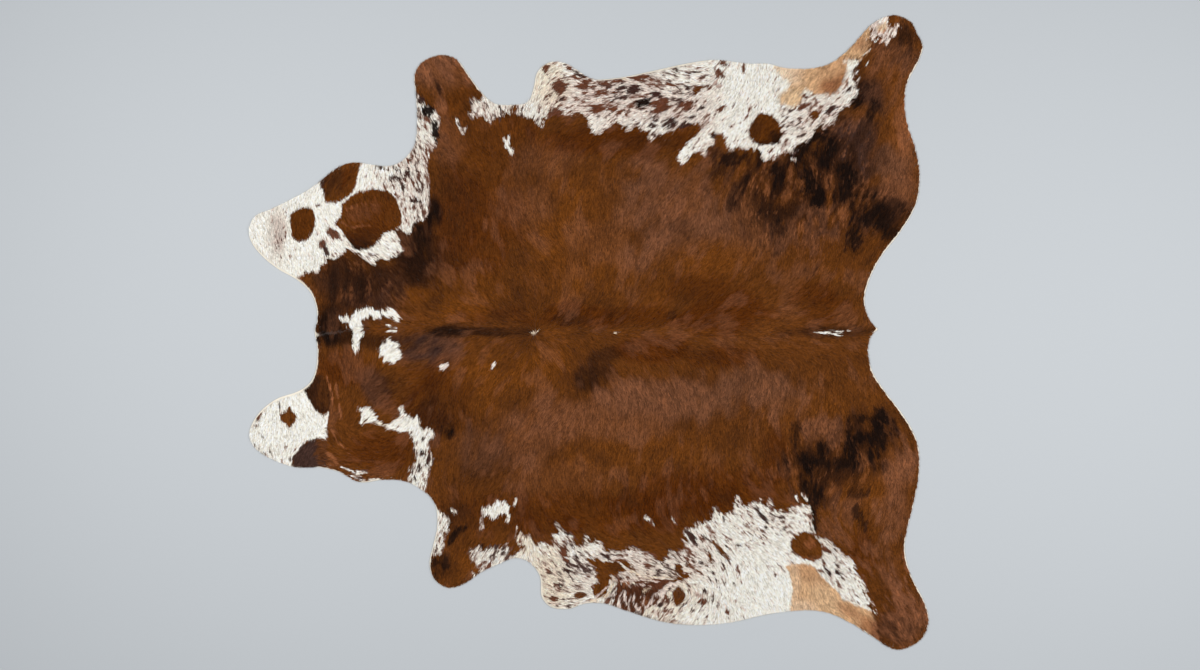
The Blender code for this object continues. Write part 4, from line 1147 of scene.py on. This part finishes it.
def lay_marks(colour, at, grain, fray):
    """Lays the spots, the marks that have their own outline and the strokes of hair."""
    for name, frays, *oval in SPOTS:
        depth = (1 - oval_radius(at, *oval)) * min(oval[2:4]) / 100 + frays * fray
        lay(colour, name, SPOT_STRENGTH * smooth_step(*SPOT_BORDER, depth))
    for name, frays, corners in MARKS:
        depth = depth_in_patch(at, corners) + frays * fray
        mark = even_colour(name, at)
        lay_ovals(mark, at, MARK_TONES, MARK_TONE_SOFT, mix(grain, MARK_TONE_RAGGED))
        lay(colour, mark, smooth_step(*MARK_BORDER, depth))
    for name, strength, frays, start, end, points in COLOUR_STROKES:
        depth = depth_in_stroke(at, points, start, end) + frays * fray
        lay(colour, name, strength * smooth_step(*STROKE_BORDER, depth))


# %% [markdown]
# ## Painting a point
# One function gives the coat's colour at any point, so that the skin under the hair and every lock
# agree.

# %% Paint
FRAY_MIX = {"lock": 0.75, "fine": 0.50, "shake": 0.45}


def paint(at, shake=0.0):
    """The coat's colour at each point."""
    grain = grain_at(at, shake)
    fray = mix(grain, FRAY_MIX) / 1000
    colour = brown_coat(at, grain)
    lay(colour, flecked_white(at, grain), whiteness(at, fray))
    lay_tan(colour, at, grain, fray)
    lay_marks(colour, at, grain, fray)
    return colour


print("paint at four points:", np.round(paint(test_points), 3).tolist())

# %% [markdown]
# ## The skin
# The skin is 2.4 mm of soft leather, thicker along the back. Its underside is flat suede, its cut
# edge is cream, and its hair side is hidden but for what shows between the locks.

# %% Skin shape
SKIN = 0.0024                # leather thickness at the flanks
TOP_STEP = 0.0135            # spacing of the skin's points, hair side
FLESH_STEP = 0.022           # the same on the flesh side
BACK_RISE = 0.0016
BACK_HALF_WIDTH = 0.230
SPINE_RISE = 0.0014
SPINE_HALF_WIDTH = 0.022
EDGE_PARTS = 3               # the edge is drawn this many times finer than the solid's
BACK_FADE = 0.08             # the back's extra height fades out this close to the edge
EDGE_ROOM = 0.55             # points inside keep this many steps away from the edge
INSIDE_ONLY = 1              # asks the triangulation to fill only the inside of the line
MERGE_DISTANCE = 1e-7


def skin_height(at):
    """Height of the hair side of the skin above the floor."""
    back = np.exp(-((at[:, 1] / BACK_HALF_WIDTH) ** 2) * 2)
    spine = np.exp(-((at[:, 1] / SPINE_HALF_WIDTH) ** 2) * 2)
    inside = smooth_step(0.0, BACK_FADE, sample(edge_depth, at))
    return SKIN + inside * (BACK_RISE * back + SPINE_RISE * spine)


def staggered_rows(step):
    """Points in staggered rows over the whole hide."""
    row_step = step * math.sqrt(3) / 2
    rows = []
    for i, y in enumerate(np.arange(edge[:, 1].min(), edge[:, 1].max(), row_step)):
        xs = np.arange(edge[:, 0].min() + (i % 2) * step / 2, edge[:, 0].max(), step)
        rows.append(np.column_stack([xs, np.full(len(xs), y)]))
    return np.vstack(rows)


def filled(line, step):
    """Points and triangles that fill a closed line, the line's own points first."""
    inner = staggered_rows(step)
    inner = inner[sample(edge_depth, inner) > EDGE_ROOM * step]
    points = np.vstack([line, inner])
    sides = [(i, (i + 1) % len(line)) for i in range(len(line))]
    corners = [tuple(p) for p in points]
    made = delaunay_2d_cdt(corners, sides, [], INSIDE_ONLY, MERGE_DISTANCE)
    return np.array([tuple(p) for p in made[0]]), np.array(made[2])


def join_mesh(name, points, faces):
    """A mesh object from arrays of points and triangles."""
    mesh = bpy.data.meshes.new(name)
    mesh.vertices.add(len(points))
    mesh.vertices.foreach_set("co", points.astype(np.float32).ravel())
    mesh.loops.add(faces.size)
    mesh.loops.foreach_set("vertex_index", faces.astype(np.int32).ravel())
    mesh.polygons.add(len(faces))
    starts = np.arange(0, faces.size, faces.shape[1], dtype=np.int32)
    mesh.polygons.foreach_set("loop_start", starts)
    mesh.update(calc_edges=True)
    mesh.validate()
    made = bpy.data.objects.new(name, mesh)
    bpy.context.scene.collection.objects.link(made)
    return made


fine_edge = smoothed(edge, EDGE_PARTS)
top_points, top_faces = filled(fine_edge, TOP_STEP)
flesh_points, flesh_faces = filled(fine_edge, FLESH_STEP)
print("skin triangles:", len(top_faces), "above,", len(flesh_faces), "below")

# %% Join the skin's faces
around = np.arange(len(fine_edge))
onward = np.roll(around, -1)
below = len(top_points)
wall_faces = np.vstack([
    np.column_stack([around + below, onward + below, onward]),
    np.column_stack([around + below, onward, around]),
])
skin_points = np.vstack([
    np.column_stack([top_points, skin_height(top_points)]),
    np.column_stack([flesh_points, np.zeros(len(flesh_points))]),
])
skin_faces = np.vstack([top_faces, wall_faces, flesh_faces[:, ::-1] + below])
hide_sheet = join_mesh("hide_leather", skin_points, skin_faces)
hide_sheet.data.polygons.foreach_set("use_smooth", np.ones(len(skin_faces), bool))
print("skin:", len(skin_points), "points,", len(skin_faces), "triangles")

# %% [markdown]
# ## Colour on the skin
# Pigment also tints the skin at the hair's roots. Close to the cut the hair side turns to bare
# cream skin, which shows as a fine pale line round much of the rug.

# %% Paint the skin
BARE_EDGE = 0.0032
BARE_FADE = (0.8 * BARE_EDGE, 1.8 * BARE_EDGE)
ROOT_SHADE = 0.72            # the skin is this much of the coat's brightness
SUEDE_MOTTLE = 0.05
LEATHER_ROUGHNESS = 0.85
NAP_SCALE = 420.0
NAP_DETAIL = 4.0
NAP_STRENGTH = 0.35
NAP_HEIGHT = 0.0006


def colour_attribute(mesh, name, colours):
    """Stores one linear colour for each point of a mesh."""
    layer = mesh.attributes.new(name, "FLOAT_COLOR", "POINT")
    shades = np.column_stack([colours, np.ones(len(colours))])
    layer.data.foreach_set("color", shades.astype(np.float32).ravel())


root_colour = ROOT_SHADE * paint(top_points)
bare = 1 - smooth_step(*BARE_FADE, sample(edge_depth, top_points))
bare[:len(fine_edge)] = 1
lay(root_colour, "cut edge", bare)
mottle = sample(clouds, flesh_points)
suede = pigment["suede"] * (1 + SUEDE_MOTTLE * mottle[:, :1] + SUEDE_MOTTLE * mottle[:, 1:2])
suede[:len(fine_edge)] = pigment["cut edge"]
colour_attribute(hide_sheet.data, "skin_colour", np.vstack([root_colour, np.clip(suede, 0, 1)]))


def leather_material():
    """Soft leather: its colour from the skin, with the fine nap of suede."""
    made, tree, shader = new_material("hide leather", LEATHER_ROUGHNESS)
    nodes = tree.nodes
    links = tree.links
    tint = nodes.new("ShaderNodeAttribute")
    tint.attribute_name = "skin_colour"
    place = nodes.new("ShaderNodeTexCoord")
    nap = nodes.new("ShaderNodeTexNoise")
    nap.inputs["Scale"].default_value = NAP_SCALE
    nap.inputs["Detail"].default_value = NAP_DETAIL
    bump = nodes.new("ShaderNodeBump")
    bump.inputs["Strength"].default_value = NAP_STRENGTH
    bump.inputs["Distance"].default_value = NAP_HEIGHT
    links.new(tint.outputs["Color"], shader.inputs["Base Color"])
    links.new(place.outputs["Object"], nap.inputs["Vector"])
    links.new(nap.outputs["Fac"], bump.inputs["Height"])
    links.new(bump.outputs["Normal"], shader.inputs["Normal"])
    return made


hide_sheet.data.materials.append(leather_material())
print("skin painted, bare points:", int((bare > 0.5).sum()))

# %% [markdown]
# ## Where each lock grows
# The hair is drawn as short flat locks, one every few millimetres in staggered rows that are then
# shaken, so no rows show. Locks that would pass the cut are clipped to it, as the knife does.

# %% Plant the roots
ROOT_STEP = 0.00284
LOCK_LENGTH = 0.0155
LOCK_WIDTH = 0.0024
OVERHANG = 0.0012            # how far a clipped tip may stand past the cut
SEEN_SHARE = 0.6             # the part of a lock that its neighbours leave in sight
SHORTEST = 0.15              # no lock is clipped to less than this share of its length
SHARE_STEP = 0.1             # locks are clipped in steps of this share
ROOT_SHAKE = 0.48            # how far a root moves out of its row, in steps
ROOT_SEED = 7

root_rng = np.random.default_rng(ROOT_SEED)
roots = staggered_rows(ROOT_STEP)
roots += root_rng.uniform(-ROOT_SHAKE, ROOT_SHAKE, roots.shape) * ROOT_STEP
roots = roots[sample(edge_depth, roots) > BARE_EDGE]
lie = unit(sample(comb, roots))
reach = np.full(len(roots), 1.0)
for share in np.arange(1.0, SHARE_STEP, -SHARE_STEP):
    tip_depth = sample(edge_depth, roots + share * LOCK_LENGTH * lie)
    too_long = (tip_depth < -OVERHANG) & (reach >= share - SHARE_STEP / 100)
    reach = np.where(too_long, share - SHARE_STEP, reach)
reach = np.maximum(reach, SHORTEST)
print("locks:", len(roots), "clipped:", int((reach < 0.99).sum()))

# %% Colour each lock
LOCK_SEED = 19
TONE_SPREAD = 0.22           # how much locks differ in brightness by chance
TONE_STREAKS = (0.10, 0.08)  # and how much with the fine and the wider streaks
TONE_LIMITS = (0.55, 1.5)
BRIGHTEST = 0.92

lock_rng = np.random.default_rng(LOCK_SEED)
seen_at = roots + SEEN_SHARE * LOCK_LENGTH * reach[:, None] * lie
lock_colour = paint(seen_at, lock_rng.standard_normal(len(roots)))
lock_tone = 1 + TONE_SPREAD * lock_rng.standard_normal(len(roots))
lock_tone += sample(fine_streaks, seen_at) @ np.array(TONE_STREAKS)
lock_colour = np.clip(lock_colour * np.clip(lock_tone, *TONE_LIMITS)[:, None], 0.0, BRIGHTEST)
print("mean lock colour:", np.round(lock_colour.mean(axis=0), 3).tolist())

# %% [markdown]
# ## One lock
# A lock is a flat blade with a pointed tip. It leaves the skin steeply and then bends over to lie on
# its neighbours. Geometry Nodes put a copy on every root, turned to the comb and a little askew.

# %% Lock shape
LOCK_SHOULDER = 0.34         # where the blade is widest, as a share of its length
LOCK_RISE = 0.0030           # height of that widest part
TIP_RISE = 0.0026
HAIR_ROUGHNESS = 0.62
HAIR_GLOSS = 0.02
ROOT_TO_TIP = (0.68, 1.04)   # brightness at the root and at the tip


def make_lock():
    """One blade along +X from its root at the origin, one unit long and one unit wide."""
    points = np.array([
        [0.0, 0.0, 0.0],
        [LOCK_SHOULDER, 0.5, LOCK_RISE],
        [LOCK_SHOULDER, -0.5, LOCK_RISE],
        [1.0, 0.0, TIP_RISE],
    ])
    made = join_mesh("lock_pattern", points, np.array([[0, 2, 1], [1, 2, 3]]))
    along = made.data.attributes.new("along", "FLOAT", "POINT")
    along.data.foreach_set("value", points[:, 0].astype(np.float32))
    return made


lock_pattern = make_lock()


def hair_material():
    """Hair: each lock's own colour, darker at the root, with a soft gloss."""
    made, tree, shader = new_material("cow hair", HAIR_ROUGHNESS)
    nodes = tree.nodes
    links = tree.links
    shader.inputs["Specular IOR Level"].default_value = HAIR_GLOSS
    tint = nodes.new("ShaderNodeAttribute")
    tint.attribute_name = "coat_colour"
    along = nodes.new("ShaderNodeAttribute")
    along.attribute_name = "along"
    ramp = nodes.new("ShaderNodeMapRange")
    ramp.inputs["To Min"].default_value = ROOT_TO_TIP[0]
    ramp.inputs["To Max"].default_value = ROOT_TO_TIP[1]
    shaded = nodes.new("ShaderNodeVectorMath")
    shaded.operation = "SCALE"
    links.new(along.outputs["Fac"], ramp.inputs["Value"])
    links.new(tint.outputs["Color"], shaded.inputs[0])
    links.new(ramp.outputs["Result"], shaded.inputs["Scale"])
    links.new(shaded.outputs["Vector"], shader.inputs["Base Color"])
    return made


cow_hair = hair_material()
print("lock pattern faces:", len(lock_pattern.data.polygons))

# %% Planting tree
PLANTING_SIZES = (
    # input of the tree, value: metres, metres, degrees, degrees, share of the length
    ("Lock length", LOCK_LENGTH),
    ("Lock width", LOCK_WIDTH),
    ("Askew", 9.0),
    ("Roll", 24.0),
    ("Uneven", 0.22),
)
LIFT = 0.85                  # mean height of a lock, as a share of its pattern's
LIFT_SPREAD = 0.3


def planting_tree():
    """Geometry Nodes that put one lock on every root."""
    tree = bpy.data.node_groups.new("plant locks", "GeometryNodeTree")
    face = tree.interface
    face.new_socket("Geometry", in_out="INPUT", socket_type="NodeSocketGeometry")
    face.new_socket("Geometry", in_out="OUTPUT", socket_type="NodeSocketGeometry")
    for name, value in PLANTING_SIZES:
        face.new_socket(name, in_out="INPUT", socket_type="NodeSocketFloat").default_value = value
    face.new_socket("Seed", in_out="INPUT", socket_type="NodeSocketInt")
    nodes = tree.nodes
    links = tree.links
    given = nodes.new("NodeGroupInput")
    out = nodes.new("NodeGroupOutput")

    def maths(operation, a, b):
        node = nodes.new("ShaderNodeMath")
        node.operation = operation
        for socket, value in zip(node.inputs, (a, b)):
            if isinstance(value, (int, float)):
                socket.default_value = value
            else:
                links.new(value, socket)
        return node.outputs[0]

    def named(name):
        node = nodes.new("GeometryNodeInputNamedAttribute")
        node.data_type = "FLOAT"
        node.inputs["Name"].default_value = name
        return node.outputs["Attribute"]

    def chance(seed_step):
        # Inputs 2 and 3 are the lowest and highest value when the data type is FLOAT.
        node = nodes.new("FunctionNodeRandomValue")
        node.data_type = "FLOAT"
        node.inputs[2].default_value = -1.0
        node.inputs[3].default_value = 1.0
        links.new(maths("ADD", given.outputs["Seed"], seed_step), node.inputs["Seed"])
        return node.outputs[1]

    degree = math.pi / 180
    skew = maths("MULTIPLY", maths("MULTIPLY", chance(0), given.outputs["Askew"]), degree)
    roll = maths("MULTIPLY", maths("MULTIPLY", chance(1), given.outputs["Roll"]), degree)
    turn = nodes.new("ShaderNodeCombineXYZ")
    links.new(roll, turn.inputs["X"])
    links.new(maths("ADD", named("comb_turn"), skew), turn.inputs["Z"])
    vary = maths("ADD", 1.0, maths("MULTIPLY", chance(2), given.outputs["Uneven"]))
    length = maths("MULTIPLY", maths("MULTIPLY", named("reach"), given.outputs["Lock length"]), vary)
    size = nodes.new("ShaderNodeCombineXYZ")
    links.new(length, size.inputs["X"])
    links.new(given.outputs["Lock width"], size.inputs["Y"])
    lifted = maths("ADD", LIFT, maths("MULTIPLY", chance(3), LIFT_SPREAD))
    links.new(maths("MULTIPLY", lifted, named("reach")), size.inputs["Z"])
    pattern = nodes.new("GeometryNodeObjectInfo")
    pattern.inputs["Object"].default_value = lock_pattern
    plant = nodes.new("GeometryNodeInstanceOnPoints")
    links.new(given.outputs["Geometry"], plant.inputs["Points"])
    links.new(pattern.outputs["Geometry"], plant.inputs["Instance"])
    to_turn = nodes.new("FunctionNodeEulerToRotation")
    links.new(turn.outputs["Vector"], to_turn.inputs["Euler"])
    links.new(to_turn.outputs["Rotation"], plant.inputs["Rotation"])
    links.new(size.outputs["Vector"], plant.inputs["Scale"])
    real = nodes.new("GeometryNodeRealizeInstances")
    links.new(plant.outputs["Instances"], real.inputs["Geometry"])
    wear = nodes.new("GeometryNodeSetMaterial")
    wear.inputs["Material"].default_value = cow_hair
    links.new(real.outputs["Geometry"], wear.inputs["Geometry"])
    links.new(wear.outputs["Geometry"], out.inputs["Geometry"])
    return tree


plant_locks = planting_tree()


def set_input(modifier, name, value):
    """Sets a planting size by the identifier of its socket."""
    for item in plant_locks.interface.items_tree:
        if item.item_type == "SOCKET" and item.in_out == "INPUT" and item.name == name:
            modifier[item.identifier] = value


print("planting tree nodes:", len(plant_locks.nodes))

# %% [markdown]
# ## Planting the coat
# The coat is planted in five strips along the backbone, so that no one piece is too heavy.
# Each lock gets its own small cell on its piece's UV map, the cells sorted from dark to light.

# %% Plant each strip
COAT_PIECES = ("left_belly", "left_flank", "back", "right_flank", "right_belly")
ROOT_SINK = 0.0002           # how far roots stand below the skin's surface
FIRST_SEED = 40
SEED_STEP = 7
BRIGHTNESS = (0.3, 0.6, 0.1)  # shares of red, green and blue
CELL_ENDS = (0.12, 0.88)     # a lock fills its cell between these shares


def point_attribute(mesh, name, values):
    """Stores one number for each point of a mesh."""
    layer = mesh.attributes.new(name, "FLOAT", "POINT")
    layer.data.foreach_set("value", values.astype(np.float32))


def cell_map(mesh, colours):
    """One UV cell a lock, in order of brightness, four corners to a lock."""
    side = math.ceil(math.sqrt(len(colours)))
    place = np.empty(len(colours), int)
    dark_to_light = np.argsort(colours @ np.array(BRIGHTNESS), kind="stable")
    place[dark_to_light] = np.arange(len(colours))
    corner = np.stack([place % side, place // side], axis=1)
    spread = np.array([(u, v) for v in CELL_ENDS for u in CELL_ENDS])
    by_point = ((corner[:, None, :] + spread[None]) / side).reshape(-1, 2)
    vertex = np.empty(len(mesh.loops), np.int32)
    mesh.loops.foreach_get("vertex_index", vertex)
    layer = mesh.uv_layers.new(name="OFBake")
    layer.uv.foreach_set("vector", by_point[vertex].astype(np.float32).ravel())


def plant_strip(name, chosen, seed):
    """One strip of the coat as a plain mesh."""
    points = np.column_stack([roots[chosen], skin_height(roots[chosen]) - ROOT_SINK])
    mesh = bpy.data.meshes.new("roots")
    mesh.vertices.add(len(points))
    mesh.vertices.foreach_set("co", points.astype(np.float32).ravel())
    point_attribute(mesh, "comb_turn", np.arctan2(lie[chosen, 1], lie[chosen, 0]))
    point_attribute(mesh, "reach", reach[chosen])
    colour_attribute(mesh, "coat_colour", lock_colour[chosen])
    bed = bpy.data.objects.new("roots", mesh)
    bpy.context.scene.collection.objects.link(bed)
    planting = bed.modifiers.new("planting", "NODES")
    planting.node_group = plant_locks
    for size, value in PLANTING_SIZES:
        set_input(planting, size, value)
    set_input(planting, "Seed", seed)
    bpy.context.view_layer.update()
    grown = bed.evaluated_get(bpy.context.evaluated_depsgraph_get())
    coat = bpy.data.objects.new(name, bpy.data.meshes.new_from_object(grown))
    bpy.data.objects.remove(bed)
    bpy.context.scene.collection.objects.link(coat)
    for spare in ("comb_turn", "reach"):
        if spare in coat.data.attributes:
            coat.data.attributes.remove(coat.data.attributes[spare])
    cell_map(coat.data, lock_colour[chosen])
    return coat


left_to_right = np.argsort(np.argsort(roots[:, 1], kind="stable"))
strip_of = left_to_right * len(COAT_PIECES) // len(roots)
coat_strips = []
for i, name in enumerate(COAT_PIECES):
    chosen = np.flatnonzero(strip_of == i)
    strip = plant_strip(f"hair_coat_{name}", chosen, FIRST_SEED + SEED_STEP * i)
    coat_strips.append(strip)
    print(strip.name, "triangles:", len(strip.data.polygons))
bpy.data.objects.remove(lock_pattern)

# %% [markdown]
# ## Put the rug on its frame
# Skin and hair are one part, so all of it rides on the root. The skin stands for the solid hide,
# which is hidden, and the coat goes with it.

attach(hide_sheet, "root")
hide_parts("hide")
for strip in coat_strips:
    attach(strip, "root")
